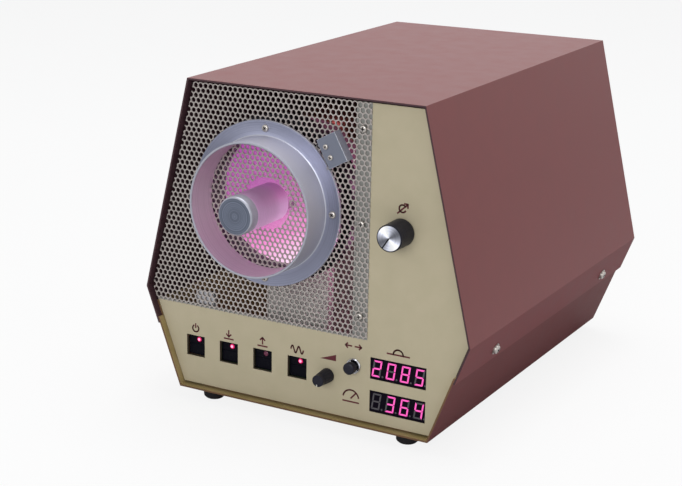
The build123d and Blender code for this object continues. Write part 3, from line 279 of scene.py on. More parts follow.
# Painted light and shade: the cap's face, chamfers and side are one aluminium, painted darker
# or lighter face by face.
cap_metal = turned_metal("cap_metal", door_axis, (0.16, 0.18, 0.235), 0.30, 0.4, 1500, 0.3)
cap_side = turned_metal("cap_side", door_axis, (0.50, 0.52, 0.58), 0.45, 0.0, metallic=0.7)
# The grip's pink is partly painted light from the glow, and its lobe at 265 degrees is a
# painted highlight.
grip_metal = turned_metal(
    "grip_metal", door_axis, (0.80, 0.50, 0.78), 0.36, 0.2, metallic=0.35, highlight_lobes=1, angle=265,
    share=0.22,
)
# Painted highlight: the inlay's two bright lobes, at 122 degrees and opposite.
inlay_metal = turned_metal(
    "inlay_metal", knob_axis, (0.62, 0.64, 0.74), 0.3, 0.9, angle=122, share=0.75
)
nut_metal = turned_metal("nut_metal", button_axis, (0.55, 0.56, 0.60), 0.16, 0.3)

# %% [markdown]
# ## The plainer finishes
# Rolled sheet has long faint streaks, moulded plastic a very fine grain, and the lamps and
# displays give their own light. The black pieces hardly shine, so that they stay black in a
# white studio.


# %% Plain metals, plastics and rubber
def streaked(name, colour, roughness, scale=90):
    material, shader = new_finish(name, colour, roughness, metallic=1.0)
    tree = material.node_tree
    drawn = {"Vector": on_piece(tree), "Scale": (1, 1, 30)}
    streaks = noise(tree, add_node(tree, "ShaderNodeMapping", drawn).outputs[0], scale, 3.0)
    rough = spread(tree, streaks, roughness - 0.08, roughness + 0.12)
    feed(tree, rough, shader.inputs["Roughness"])
    return material


def moulded(name, colour, roughness, grain=900, specular=0.5):
    material, shader = new_finish(name, colour, roughness, specular=specular)
    lighter = tuple(channel * 1.25 + 0.001 for channel in colour)
    speckle(material, shader, grain, colour, lighter, 0.2)
    return material


def shining(name, colour, strength, base=(0.02, 0.02, 0.02)):
    material, shader = new_finish(name, base, 0.4, specular=0.1)
    shader.inputs["Emission Color"].default_value = (*colour, 1)
    shader.inputs["Emission Strength"].default_value = strength
    speckle(material, shader, 500, base, tuple(channel * 1.3 for channel in base))
    return material


sheet_metal = streaked("sheet_metal", (0.30, 0.31, 0.34), 0.36)
# Painted highlight: a bright copy of the metal, laid on the bracket's bends.
painted_bend_highlight = streaked("painted_bend_highlight", (0.70, 0.72, 0.78), 0.3)
dark_plate = streaked("dark_plate", (0.045, 0.040, 0.050), 0.5)
bracket_metal = streaked("bracket_metal", (0.19, 0.205, 0.255), 0.4)
screw_metal = streaked("screw_metal", (0.48, 0.45, 0.42), 0.3, scale=400)
bright_nut = streaked("bright_nut", (0.60, 0.60, 0.62), 0.15, scale=300)
brass_metal = streaked("brass_metal", (0.60, 0.40, 0.17), 0.3)
copper_metal = streaked("copper_metal", (0.50, 0.22, 0.12), 0.34)
steel_metal = streaked("steel_metal", (0.38, 0.38, 0.40), 0.28)
lever_metal = streaked("lever_metal", (0.24, 0.23, 0.24), 0.3)
black_plastic = moulded("black_plastic", (0.008, 0.008, 0.012), 0.45, specular=0.2)
knob_plastic = moulded("knob_plastic", (0.010, 0.010, 0.018), 0.42, specular=0.2)
key_plastic = moulded("key_plastic", (0.003, 0.003, 0.006), 0.5, specular=0.05)
bracket_side = moulded("bracket_side", (0.27, 0.27, 0.33), 0.4, specular=0.5)
foot_rubber = moulded("foot_rubber", (0.012, 0.011, 0.012), 0.7, 500, 0.2)
white_plastic = moulded("white_plastic", (0.75, 0.74, 0.70), 0.45)
board_mask = moulded("board_mask", (0.02, 0.13, 0.05), 0.35)
winding_tape = moulded("winding_tape", (0.62, 0.46, 0.10), 0.35, 200)
seal_silicone = moulded("seal_silicone", (0.030, 0.012, 0.012), 0.6, specular=0.1)
hose_silicone = moulded("hose_silicone", (0.62, 0.60, 0.55), 0.3)
window_filter = moulded("window_filter", (0.003, 0.0015, 0.006), 0.35, specular=0.05)
print("finishes ready", len(bpy.data.materials))

# %% [markdown]
# Glass stays a clear pane that keeps a little tint, so the glow behind it shows.

# %% Glass
pane_glass, pane_shader = flecked(
    "pane_glass", (0.80, 0.62, 0.76), 0.06, 0.3, 30, (0.78, 0.60, 0.75), (0.82, 0.64, 0.78)
)
pane_shader.inputs["Alpha"].default_value = 0.10

# %% [markdown]
# ## Dressing the CAD nodes
# Most nodes keep their own mesh and only change material. Edges that catch the light are another
# matter: a real folded or milled edge is never perfectly sharp. For those pieces a copy of the
# mesh is welded, given a small bevel, and stands for the node.

# %% Materials of the nodes
finish_table = (
    (case_paint, "cover"), (tray_paint, "chassis_tray"), (panel_paint, "front_panel"),
    (rear_paint, "rear_panel"), (screen_paint, "rf_screen door_mesh"),
    (foot_rubber, "rubber_feet"), (seal_silicone, "chamber_oring"),
    (pane_glass, "glass_barrel door_glass sample_tray tray_carrier"),
    (steel_metal, "screen_bracket level_pot gauge_tube vacuum_port guide_rods"),
    (sheet_metal, "rf_housing heat_sink capacitor_frame stator_plates vacuum_manifold"),
    (copper_metal, "upper_electrode lower_electrode matching_coil"),
    (brass_metal, "capacitor_rotor gas_inlet"), (dark_plate, "chamber_flange door_frame"),
    (black_plastic, "key_switch_bodies solenoid_valves interlock_switch"),
    (black_plastic, "fan_frame fan_rotor mains_inlet"), (bright_nut, "fan_guard"),
    (white_plastic, "chamber_saddles"), (winding_tape, "toroidal_transformer"),
    (board_mask, "control_board"), (window_filter, "display_modules"),
    (hose_silicone, "vacuum_hoses"), (bracket_metal, "interlock_bracket"),
    (lever_metal, "interlock_lever"), (nut_metal, "push_button_bush"),
    (knob_plastic, "push_button_cap level_knob tuning_knob"), (inlay_metal, "knob_inlay"),
    (key_plastic, "power_key vacuum_key vent_key rf_key key_leds"),
    (grip_metal, "handle_grip"), (cap_metal, "handle_cap"), (tube_metal, "door_ring"),
    (screw_metal, "cover_screws small_screws door_screws switch_screws"),
)
node_finish = {node: material for material, names in finish_table for node in names.split()}
body_of_node = {
    node: body for body, names in frame["record"]["behaviour"]["bodies"].items() for node in names
}
for node, material in node_finish.items():
    nodes[node].data.materials.clear()
    nodes[node].data.materials.append(material)
print("dressed", len(node_finish), "of", len(nodes))


# %% Helpers that finish a piece
def put(name, data):
    """A new object in the scene, at the origin."""
    thing = bpy.data.objects.new(name, data)
    bpy.context.scene.collection.objects.link(thing)
    return thing


def piece_from(name, mesh, material, node, stands_for=()):
    """A finished piece at the origin, riding its node's body, standing for the nodes it names."""
    piece = put(name, mesh)
    if material:
        mesh.materials.clear()
        mesh.materials.append(material)
    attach(piece, body_of_node[node])
    if stands_for:
        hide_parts(*stands_for)
    return piece


def smooth(mesh, angle=35):
    mesh.shade_smooth()
    mesh.set_sharp_from_angle(angle=math.radians(angle))


def plain_mesh(helper):
    """The mesh that an object's modifiers make, after which the object itself is thrown away."""
    graph = bpy.context.evaluated_depsgraph_get()
    mesh = bpy.data.meshes.new_from_object(helper.evaluated_get(graph))
    bpy.data.objects.remove(helper)
    return mesh


# %% [markdown]
# The bevel is followed by weighted normals. On folded sheets the wide faces also get their own
# direction at every corner, so only the narrow bends turn the light and no sheet looks dented.

# %% Rounded copies
def flat_where_wide(mesh, least=3.0):
    """Wide faces are shaded dead flat, and only the narrow ones at the bends turn the light."""
    normals = [corner.vector.copy() for corner in mesh.corner_normals]
    for face in mesh.polygons:
        ends = [mesh.vertices[i].co for i in face.vertices]
        rim = sum((ends[i] - ends[i - 1]).length for i in range(len(ends)))
        if 2 * face.area / rim > least * MM:
            for corner in face.loop_indices:
                normals[corner] = face.normal.copy()
    mesh.normals_split_custom_set(normals)


def softened(node, width):
    """A welded copy of a node with its sharp edges rounded by a bevel."""
    mesh = nodes[node].data.copy()
    weld = bmesh.new()
    weld.from_mesh(mesh)
    bmesh.ops.remove_doubles(weld, verts=weld.verts, dist=0.002 * MM)
    bmesh.ops.dissolve_limit(
        weld, angle_limit=math.radians(1), verts=weld.verts, edges=weld.edges
    )
    weld.to_mesh(mesh)
    weld.free()
    mesh.shade_smooth()
    helper = put("bevel_helper", mesh)
    bevel = helper.modifiers.new("edge", "BEVEL")
    bevel.width = width * MM
    bevel.segments = 2
    bevel.limit_method = "ANGLE"
    bevel.angle_limit = math.radians(40)
    bevel.use_clamp_overlap = True
    even = helper.modifiers.new("even", "WEIGHTED_NORMAL")
    even.mode = "FACE_AREA"
    even.weight = 100
    even.keep_sharp = False
    return piece_from("soft_" + node, plain_mesh(helper), node_finish[node], node, [node])


edge_widths = {
    "cover": 0.35, "chassis_tray": 0.3, "front_panel": 0.3, "rear_panel": 0.3,
    "interlock_bracket": 0.8, "screen_bracket": 0.3,
    "power_key": 0.4, "vacuum_key": 0.4, "vent_key": 0.4, "rf_key": 0.4,
    "level_knob": 0.12, "mains_inlet": 0.4, "fan_frame": 0.5, "rubber_feet": 0.6,
    "vacuum_port": 0.4, "interlock_switch": 0.3,
}
rounded = {}
for node, width in edge_widths.items():
    rounded[node] = softened(node, width)
    if node in ("cover", "chassis_tray", "front_panel", "rear_panel", "interlock_bracket"):
        flat_where_wide(rounded[node].data)
    print(rounded[node].name, len(rounded[node].data.polygons), "faces")

# %% [markdown]
# ## Inside and outside of the sheets
# A face of the cover looks outwards where its normal points away from the middle line of the
# case. The other faces are its inner side, and the faces that look straight forward are the cut
# edge; both get a darker paint, which is painted shade.


# %% Finishes face by face
def set_faces(piece, material, wanted):
    """Gives one more material to the faces that a test picks."""
    piece.data.materials.append(material)
    slot = len(piece.data.materials) - 1
    picked = 0
    for face in piece.data.polygons:
        if wanted(face.normal, face.center):
            face.material_index = slot
            picked += 1
    print(piece.name, material.name, picked, "faces")


case_middle = middle_of("cover")


def looks_inward(normal, centre):
    return normal.x * (centre.x - case_middle.x) + normal.z * (centre.z - case_middle.z) < 0.02


def cut_edge(normal, centre):
    return abs(normal.y) > 0.7


def lower_flange(normal, centre):
    return normal.z < -0.3 and normal.x * centre.x > 0 and abs(normal.y) < 0.5


# Painted shade on the cover's inner faces and front cut edge.
set_faces(rounded["cover"], shaded_case_inside, looks_inward)
# Painted shade on the lower flanges: a darker, less glossy copy of the case paint.
set_faces(rounded["cover"], shaded_flange_paint, lower_flange)
set_faces(rounded["chassis_tray"], tray_inside, looks_inward)
set_faces(rounded["chassis_tray"], tray_edge, cut_edge)
# Painted shade on the walls of the panel's openings.
set_faces(rounded["front_panel"], shaded_panel_walls, lambda normal, centre: abs(normal.y) < 0.5)
bracket = rounded["interlock_bracket"]
set_faces(bracket, bracket_side, lambda normal, centre: abs(normal.y) <= 0.1)
# Painted highlight on the bracket's bends.
set_faces(bracket, painted_bend_highlight, lambda normal, centre: 0.1 < abs(normal.y) < 0.97)

# %% [markdown]
# ## Turned pieces
# The ring, the handle, the tuning knob and the push button's nut are turned on a lathe, and so
# are their meshes here: a closed half section is spun round the axis with many facets, with the
# small chamfers that a turner leaves on each edge. The sizes come from the nodes that they
# stand for.


# %% Lathe
def spun(profile, axis, facets):
    """A closed half section of (depth, radius) points in mm, spun round a line along Y."""
    mesh = bpy.data.meshes.new("spun")
    work = bmesh.new()
    rings = []
    for k in range(facets):
        turn = 2 * math.pi * k / facets
        spoke = Vector((math.cos(turn), 0, math.sin(turn)))
        rings.append([
            work.verts.new(Vector((axis.x, case_front + depth * MM, axis.z)) + spoke * radius * MM)
            for depth, radius in profile
        ])
    for here, there in zip(rings, rings[1:] + rings[:1]):
        for i in range(len(profile)):
            j = (i + 1) % len(profile)
            if profile[i][1] > 0 or profile[j][1] > 0:
                work.faces.new((here[i], here[j], there[j], there[i]))
    bmesh.ops.remove_doubles(work, verts=work.verts, dist=0.001 * MM)
    bmesh.ops.recalc_face_normals(work, faces=work.faces)
    work.to_mesh(mesh)
    work.free()
    smooth(mesh, 30)
    return mesh


def depth_of(y):
    """Depth in mm behind the case's front edge of a place in the scene."""
    return (y - case_front) / MM


def span_of(node):
    """Front and back depth of a round node, and its radius, in mm."""
    low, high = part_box(node)
    return depth_of(low.y), depth_of(high.y), (high.x - low.x) / 2 / MM


def turned_piece(name, profile, axis, facets, material, node):
    """A spun piece that stands for its node."""
    return piece_from(name, spun(profile, axis, facets), material, node, [node])


# %% Door ring
rim, flange_back, flange_radius = span_of("door_ring")
flange_thickness = 2.5
flange_front = flange_back - flange_thickness
tube_radius, tube_bore = 55.8, 54.0
ring_profile = [
    (rim, tube_bore + 0.45), (rim, tube_radius - 0.35), (rim + 0.35, tube_radius),
    (flange_front - 1.1, tube_radius), (flange_front - 0.35, tube_radius + 0.3),
    (flange_front, tube_radius + 1.1), (flange_front, flange_radius - 0.4),
    (flange_front + 0.4, flange_radius), (flange_back - 0.3, flange_radius),
    (flange_back, flange_radius - 0.3), (flange_back, tube_bore), (rim + 0.45, tube_bore),
]
ring = turned_piece("turned_ring", ring_profile, door_axis, 192, tube_metal, "door_ring")


def off_axis(centre):
    return math.hypot(centre.x - door_axis.x, centre.z - door_axis.z) / MM


def on_flange(normal, centre):
    return abs(normal.y) > 0.9 and off_axis(centre) > tube_radius + 1.2


def in_bore(normal, centre):
    return abs(normal.y) < 0.4 and off_axis(centre) < tube_bore + 0.3


# Painted light and shade: each face set of the ring gets its own lighter or darker copy.
set_faces(ring, rim_metal, lambda normal, centre: normal.y < -0.4)
set_faces(ring, flange_metal, on_flange)
set_faces(ring, bore_metal, in_bore)

# %% Handle
cap_front, cap_back, handle_radius = span_of("handle_cap")
grip_back = span_of("handle_grip")[1]
cap_profile = [
    (cap_front, 0), (cap_front, handle_radius - 1.3), (cap_front + 0.2, handle_radius - 1.0),
    (cap_front + 1.1, handle_radius - 0.12), (cap_front + 1.5, handle_radius),
    (cap_back - 0.25, handle_radius), (cap_back, handle_radius - 0.25), (cap_back, 0),
]
grip_profile = [
    (cap_back + 0.05, 0), (cap_back + 0.05, handle_radius - 0.3),
    (cap_back + 0.3, handle_radius - 0.05), (grip_back, handle_radius - 0.05), (grip_back, 0),
]
cap = turned_piece("turned_cap", cap_profile, door_axis, 96, cap_metal, "handle_cap")
# Painted light and shade: the chamfers and side get lighter copies of the cap's metal.
set_faces(cap, rim_metal, lambda normal, centre: 0.2 < abs(normal.y) < 0.95)
set_faces(cap, cap_side, lambda normal, centre: abs(normal.y) <= 0.2)
turned_piece("turned_grip", grip_profile, door_axis, 96, grip_metal, "handle_grip")

# %% Tuning knob and inlay
knob_front, knob_back, knob_radius = span_of("tuning_knob")
inlay_front, inlay_back, inlay_radius = span_of("knob_inlay")
face_radius = knob_radius - 0.3
knob_profile = [
    (inlay_back + 0.05, inlay_radius), (knob_front, inlay_radius + 0.05),
    (knob_front, face_radius - 0.45), (knob_front + 0.45, face_radius),
    (knob_back - 0.5, knob_radius), (knob_back, knob_radius - 0.35), (knob_back, 6.4),
    (knob_back - 4, 6.4), (knob_back - 4, 3.3), (inlay_back + 0.05, 3.3),
]
turned_piece("knob_body", knob_profile, knob_axis, 96, knob_plastic, "tuning_knob")
inlay_profile = [
    (inlay_front, 0), (inlay_front, inlay_radius - 0.25),
    (inlay_front + 0.15, inlay_radius - 0.05), (inlay_back, inlay_radius - 0.05), (inlay_back, 0),
]
turned_piece("spun_inlay", inlay_profile, knob_axis, 96, inlay_metal, "knob_inlay")

# %% [markdown]
# The push button sits in a bright turned nut with a raised lip, and its cap is slightly domed.

# %% Push button
bush_front, bush_back, bush_radius = span_of("push_button_bush")
button_front, button_back, button_radius = span_of("push_button_cap")
panel_front = depth_of(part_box("front_panel")[0].y)
nut_profile = [
    (bush_front + 0.9, button_radius + 0.15), (bush_front + 0.1, button_radius + 0.15),
    (bush_front, button_radius + 0.35), (bush_front, button_radius + 0.9),
    (bush_front + 0.5, bush_radius - 0.25), (bush_front + 0.9, bush_radius),
    (panel_front - 0.02, bush_radius), (panel_front - 0.02, button_radius - 0.1),
    (panel_front + 3.2, button_radius - 0.1), (panel_front + 3.2, bush_radius),
    (bush_back, bush_radius), (bush_back, 2.6), (bush_front + 0.9, 2.6),
]
turned_piece("button_nut", nut_profile, button_axis, 64, nut_metal, "push_button_bush")
cap_dome = [
    (button_front, 0), (button_front + 0.05, button_radius - 2.2),
    (button_front + 0.3, button_radius - 0.9), (button_front + 0.8, button_radius - 0.15),
    (button_front + 1.2, button_radius), (bush_front - 2.4, button_radius),
    (bush_front - 2.4, 2.5), (button_back, 2.5), (button_back, 0),
]
turned_piece("button_dome", cap_dome, button_axis, 48, knob_plastic, "push_button_cap")
print("turned pieces ready")

# %% [markdown]
# ## Geometry Nodes, once for all
# What repeats is made by node trees. A tree's inputs have names, a modifier on a helper object
# gets their values by socket identifier, and the plain mesh that comes out is what the scene
# keeps.


# %% Tree helpers
SOCKETS = {
    float: "NodeSocketFloat", int: "NodeSocketInt", Vector: "NodeSocketVector",
    bpy.types.Material: "NodeSocketMaterial", bpy.types.Object: "NodeSocketObject",
}


def new_tree(name, inputs):
    """An empty tree with named inputs, the outputs of its entry and the socket of its exit."""
    tree = bpy.data.node_groups.new(name, "GeometryNodeTree")
    tree.interface.new_socket("Geometry", in_out="INPUT", socket_type="NodeSocketGeometry")
    for label, kind in inputs.items():
        tree.interface.new_socket(label, in_out="INPUT", socket_type=SOCKETS[kind])
    tree.interface.new_socket("Geometry", in_out="OUTPUT", socket_type="NodeSocketGeometry")
    entry, leave = tree.nodes.new("NodeGroupInput"), tree.nodes.new("NodeGroupOutput")
    return tree, entry.outputs, leave.inputs["Geometry"]


def step(tree, kind, output, inputs, **settings):
    """One geometry node, from its inputs to the output that is wanted."""
    return add_node(tree, "GeometryNode" + kind, inputs, **settings).outputs[output]


def grown(mesh, tree, values):
    """Runs a tree on a mesh and returns the plain mesh that it makes."""
    helper = put("grow_helper", mesh)
    modifier = helper.modifiers.new("repeat", "NODES")
    modifier.node_group = tree
    for item in tree.interface.items_tree:
        if item.in_out == "INPUT" and item.name in values:
            modifier[item.identifier] = values[item.name]
    return plain_mesh(helper)


# %% [markdown]
# ## Perforated sheets
# The screen is steel sheet with round holes, 5/32 inch wide and 3/16 inch apart, on a staggered
# grid. Such a grid divides into six-sided cells with one hole each. The tree puts one flat cell
# at every loose point, joins the cells with the cut ones at the sheet's edge, which come in as
# faces, and thickens the whole sheet at once, so the walls of the holes come by themselves.


# %% Tree of the perforated sheet
def perforated_tree():
    tree, entry, leave = new_tree(
        "perforated_sheet",
        {"Cell Reach": float, "Hole Radius": float, "Hole Facets": int, "Thickness": float,
         "Weld": float, "Material": bpy.types.Material},
    )
    sheet_in, weld = entry["Geometry"], entry["Weld"]
    rim = step(
        tree, "CurvePrimitiveCircle", "Curve", {"Resolution": 6, "Radius": entry["Cell Reach"]}
    )
    turned = step(
        tree, "Transform", "Geometry", {"Rotation": (0, 0, math.radians(30)), "Geometry": rim}
    )
    hole = step(
        tree, "CurvePrimitiveCircle", "Curve",
        {"Resolution": entry["Hole Facets"], "Radius": entry["Hole Radius"]},
    )
    both = step(tree, "JoinGeometry", "Geometry", {"Geometry": [turned, hole]})
    cell = step(tree, "FillCurve", "Mesh", {"Curve": both})
    faces = step(tree, "InputMeshVertexNeighbors", "Face Count", {})
    loose = add_node(
        tree, "FunctionNodeCompare", {2: faces}, data_type="INT", operation="EQUAL"
    ).outputs[0]
    cells = step(
        tree, "InstanceOnPoints", "Instances",
        {"Rotation": (math.radians(90), 0, 0), "Points": sheet_in, "Selection": loose,
         "Instance": cell},
    )
    real = step(tree, "RealizeInstances", "Geometry", {"Geometry": cells})
    edge_cells = step(
        tree, "DeleteGeometry", "Geometry", {"Geometry": sheet_in, "Selection": loose},
        domain="POINT",
    )
    flat = step(tree, "JoinGeometry", "Geometry", {"Geometry": [real, edge_cells]})
    sheet = step(tree, "MergeByDistance", "Geometry", {"Geometry": flat, "Distance": weld})
    thick = step(
        tree, "ExtrudeMesh", "Mesh",
        {"Individual": False, "Offset": (0, -1, 0), "Mesh": sheet,
         "Offset Scale": entry["Thickness"]},
        mode="FACES",
    )
    rear = step(tree, "FlipFaces", "Mesh", {"Mesh": sheet})
    whole = step(tree, "JoinGeometry", "Geometry", {"Geometry": [thick, rear]})
    closed = step(tree, "MergeByDistance", "Geometry", {"Geometry": whole, "Distance": weld})
    solid = step(tree, "RealizeInstances", "Geometry", {"Geometry": closed})
    values = {"Geometry": solid, "Material": entry["Material"]}
    feed(tree, step(tree, "SetMaterial", "Geometry", values), leave)
    return tree


perforated_sheet = perforated_tree()

# %% [markdown]
# A cell at the edge keeps its hole but loses what lies outside the sheet. Each outline is a rule
# that is positive inside. A polygon is cut where the rule changes sign, and the crossing is found
# by halving the edge, always from its inner end, so that neighbours agree on it.

# %% Cells of a sheet
hole_pitch = 4.7625
hole_width = 4.08
hole_facets = 12
grid_x, grid_z = -102.7, 263.8
row_step = hole_pitch * math.sqrt(3) / 2
cell_reach = hole_pitch / math.sqrt(3)


def crossing(inner, outer, rule):
    near, far = 0.0, 1.0
    for _ in range(14):
        half = (near + far) / 2
        point = (inner[0] + (outer[0] - inner[0]) * half, inner[1] + (outer[1] - inner[1]) * half)
        if rule(*point) >= 0:
            near = half
        else:
            far = half
    return (inner[0] + (outer[0] - inner[0]) * near, inner[1] + (outer[1] - inner[1]) * near)


def cut(polygon, rule):
    """The part of a flat polygon where a rule is positive, in the panel's x and z."""
    kept = []
    for i, here in enumerate(polygon):
        there = polygon[(i + 1) % len(polygon)]
        here_in, there_in = rule(*here) >= 0, rule(*there) >= 0
        if here_in:
            kept.append(here)
        if here_in and not there_in:
            kept.append(crossing(here, there, rule))
        elif there_in and not here_in:
            kept.append(crossing(there, here, rule))
    return kept


def around(x, z, radius, angle):
    return (x + radius * math.cos(math.radians(angle)), z + radius * math.sin(math.radians(angle)))


def cell_pieces(x, z):
    """One cell round its hole as three triangles for each of its six sides."""
    hole = hole_width / 2
    pieces = []
    for start in range(30, 390, 60):
        a, b = around(x, z, cell_reach, start), around(x, z, cell_reach, start + 60)
        inner = [around(x, z, hole, start + turn) for turn in (0, 30, 60)]
        pieces += [(a, b, inner[1]), (a, inner[1], inner[0]), (b, inner[2], inner[1])]
    return pieces


def sheet_mesh(rules, low, high, depth):
    """Loose points for whole cells and faces for cut cells, flat at one depth."""
    points, faces = [], []
    first_row, last_row = (math.floor((z - grid_z) / row_step) for z in (low[1], high[1]))
    first, last = (math.floor((x - grid_x) / hole_pitch) for x in (low[0], high[0]))
    for row in range(first_row - 1, last_row + 2):
        for column in range(first - 1, last + 2):
            x = grid_x + (column + (0.5 if row % 2 else 0)) * hole_pitch
            z = grid_z + row * row_step
            corners = [around(x, z, cell_reach, start) for start in range(30, 390, 60)]
            inside = [all(rule(*corner) >= 0 for rule in rules) for corner in corners]
            if all(inside):
                points.append((x, z))
            elif any(inside) or all(rule(x, z) >= -cell_reach for rule in rules):
                for piece in cell_pieces(x, z):
                    for rule in rules:
                        piece = cut(piece, rule) if len(piece) > 2 else ()
                    if len(piece) > 2:
                        faces.append(piece)
    mesh = bpy.data.meshes.new("flat_sheet")
    work = bmesh.new()
    for x, z in points:
        work.verts.new(at(x, depth, z))
    for face in faces:
        work.faces.new([work.verts.new(at(x, depth, z)) for x, z in face])
    work.to_mesh(mesh)
    work.free()
    print("whole cells", len(points), "cut faces", len(faces))
    return mesh


def line_rule(a, b):
    """Distance to the right of a line from a to b: positive inside a clockwise outline."""
    long = math.hypot(b[0] - a[0], b[1] - a[1])
    side = ((b[1] - a[1]) / long, -(b[0] - a[0]) / long)
    return lambda x, z: (x - a[0]) * side[0] + (z - a[1]) * side[1]


def circle_rule(centre, radius, sign):
    """Distance inside a circle for sign 1, or outside it for sign -1."""
    return lambda x, z: sign * (radius - math.hypot(x - centre[0], z - centre[1]))


# %% The screen and the door's disc
def perforated(rules, low, high, front, back):
    mesh = grown(
        sheet_mesh(rules, low, high, back), perforated_sheet,
        {"Cell Reach": cell_reach * MM, "Hole Radius": hole_width / 2 * MM,
         "Hole Facets": hole_facets, "Thickness": (back - front) * MM, "Weld": 0.004 * MM,
         "Material": screen_paint},
    )
    smooth(mesh, 35)
    print("perforated sheet", len(mesh.polygons), "faces")
    return mesh


screen_low, screen_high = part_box("rf_screen")
door_x, door_z = door_axis.x / MM, (door_axis.z - tray_foot) / MM
screen_front, screen_back = depth_of(screen_low.y), depth_of(screen_high.y)
screen_left, screen_right = screen_low.x / MM, screen_high.x / MM
screen_bottom, screen_top = ((z - tray_foot) / MM for z in (screen_low.z, screen_high.z))
screen_lift = 1.8
screen_top += screen_lift
top_left_x, low_left_x, waist_z = -104.9, -144.27, 85.5
door_opening, handle_opening = 67.0, 21.5
screen_outline = [
    (top_left_x, screen_top), (screen_right, screen_top), (screen_right, screen_bottom),
    (low_left_x, screen_bottom), (screen_left, waist_z),
]
screen_rules = [
    line_rule(corner, screen_outline[(i + 1) % len(screen_outline)])
    for i, corner in enumerate(screen_outline)
]
screen_rules.append(circle_rule((door_x, door_z), door_opening, -1))
screen_mesh = perforated(
    screen_rules, (screen_left, screen_bottom), (screen_right, screen_top), screen_front,
    screen_back,
)
piece_from("perforated_screen", screen_mesh, None, "rf_screen", ["rf_screen"])
disc_front, disc_back, disc_radius = span_of("door_mesh")
disc_rules = [
    circle_rule((door_x, door_z), disc_radius, 1), circle_rule((door_x, door_z), handle_opening, -1)
]
disc_mesh = perforated(
    disc_rules, (door_x - disc_radius, door_z - disc_radius),
    (door_x + disc_radius, door_z + disc_radius), disc_front, disc_back,
)
piece_from("perforated_disc", disc_mesh, None, "door_mesh", ["door_mesh"])

# %% [markdown]
# ## The glow
# Low-pressure gas lights up pink inside the barrel. A thin lining on the barrel's wall gives that
# light: purple-pink at the top and almost white at the lower right, where the discharge is
# brightest. The side of the lining that faces the cabinet is much weaker, as what leaks out is.


# %% Glow lining
def glow_material(name, strength, colours, direction, low, high):
    """Light whose colour runs along one direction across the barrel."""
    material, shader = new_finish(name, (0.05, 0.02, 0.04), 0.6, specular=0.1)
    tree = material.node_tree
    values = {0: on_piece(tree), 1: tuple(door_axis)}
    shift = add_node(tree, "ShaderNodeVectorMath", values, operation="SUBTRACT").outputs[0]
    values = {0: shift, 1: direction}
    along = add_node(tree, "ShaderNodeVectorMath", values, operation="DOT_PRODUCT").outputs["Value"]
    values = {"Value": along, "From Min": low, "From Max": high}
    share = add_node(tree, "ShaderNodeMapRange", values).outputs["Result"]
    feed(tree, ramp(tree, share, colours, 0.0, 1.0), shader.inputs["Emission Color"])
    shader.inputs["Emission Strength"].default_value = strength
    return material


brighter_way = (0.75, 0.0, -0.66)
plasma_light = glow_material(
    "plasma_light", 1.25,
    [(0.31, 0.055, 0.30), (0.40, 0.10, 0.32), (0.84, 0.26, 0.60), (1.0, 0.80, 0.95)],
    brighter_way, -0.055, 0.046,
)
plasma_leak = glow_material(
    "plasma_leak", 1.0,
    [(0.10, 0.03, 0.06), (0.09, 0.03, 0.05), (0.13, 0.04, 0.07), (0.80, 0.22, 0.50)],
    brighter_way, -0.056, 0.056,
)
mouth = span_of("glass_barrel")[0] + 1
glow_length, glow_radius, lining = 100, 56.2, 1
shoulder, shoulder_radius, dome = 18, 40, 24
glow_back = mouth + glow_length
glow_profile = [
    (mouth, glow_radius), (glow_back, glow_radius), (glow_back + shoulder, shoulder_radius),
    (glow_back + dome, 0), (glow_back + dome - lining, 0),
    (glow_back + shoulder - lining, shoulder_radius - lining),
    (glow_back - lining / 2, glow_radius - lining), (mouth, glow_radius - lining),
]
glow = piece_from("plasma_glow", spun(glow_profile, door_axis, 96), plasma_light, "glass_barrel")


def faces_cabinet(normal, centre):
    away = Vector((centre.x - door_axis.x, 0, centre.z - door_axis.z))
    return normal.dot(away) > 0 or (normal.y > 0.5 and centre.y > door_axis.y)


set_faces(glow, plasma_leak, faces_cabinet)

# %% [markdown]
# ## Displays and lamps
# Each display is a dark window with four slanted seven-segment digits. A digit is the same seven
# bars every time, and a small table says which bars of it are lit. The bars meet at mitred
# corners. The lamps are domed lenses.

# %% Seven-segment digits
lit_bar = shining("lit_bar", (1.0, 0.11, 0.52), 1.15)
unlit_bar = flecked(
    "unlit_bar", (0.10, 0.095, 0.105), 0.5, 0.05, 300, (0.095, 0.09, 0.10), (0.11, 0.105, 0.115)
)[0]
bars_lit = {
    "0": "abcdef", "1": "bc", "2": "abged", "3": "abgcd", "4": "fgbc", "5": "afgcd",
    "6": "afgedc", "7": "abc", "8": "abcdefg", "9": "abcdfg", " ": "",
}
digit_height, digit_width, bar_width, bar_gap = 14.0, 7.6, 1.35, 0.18
digit_pitch, slant, digit_shift = 12.7, math.radians(8), -0.2
dot_reach, dot_lift, dot_radius = 1.3, 0.9, 0.85


def bar_shape(bar):
    """Corners of one bar of a digit, centred on the digit, before it is slanted."""
    h, w, t, g = digit_height / 2, digit_width / 2, bar_width, bar_gap
    if bar in "ad":
        s = 1 if bar == "a" else -1
        return [(-w + g, s * h), (w - g, s * h), (w - t - g, s * (h - t)),
                (-w + t + g, s * (h - t))]
    if bar == "g":
        return [(-w + g + t / 2, 0), (-w + t, t / 2), (w - t, t / 2), (w - g - t / 2, 0),
                (w - t, -t / 2), (-w + t, -t / 2)]
    x = 1 if bar in "bc" else -1
    z = 1 if bar in "bf" else -1
    return [(x * w, z * (h - g)), (x * w, z * (t / 2 + g) * 0.4), (x * (w - t / 2), z * g),
            (x * (w - t), z * (t / 2 + g)), (x * (w - t), z * (h - t - g))]


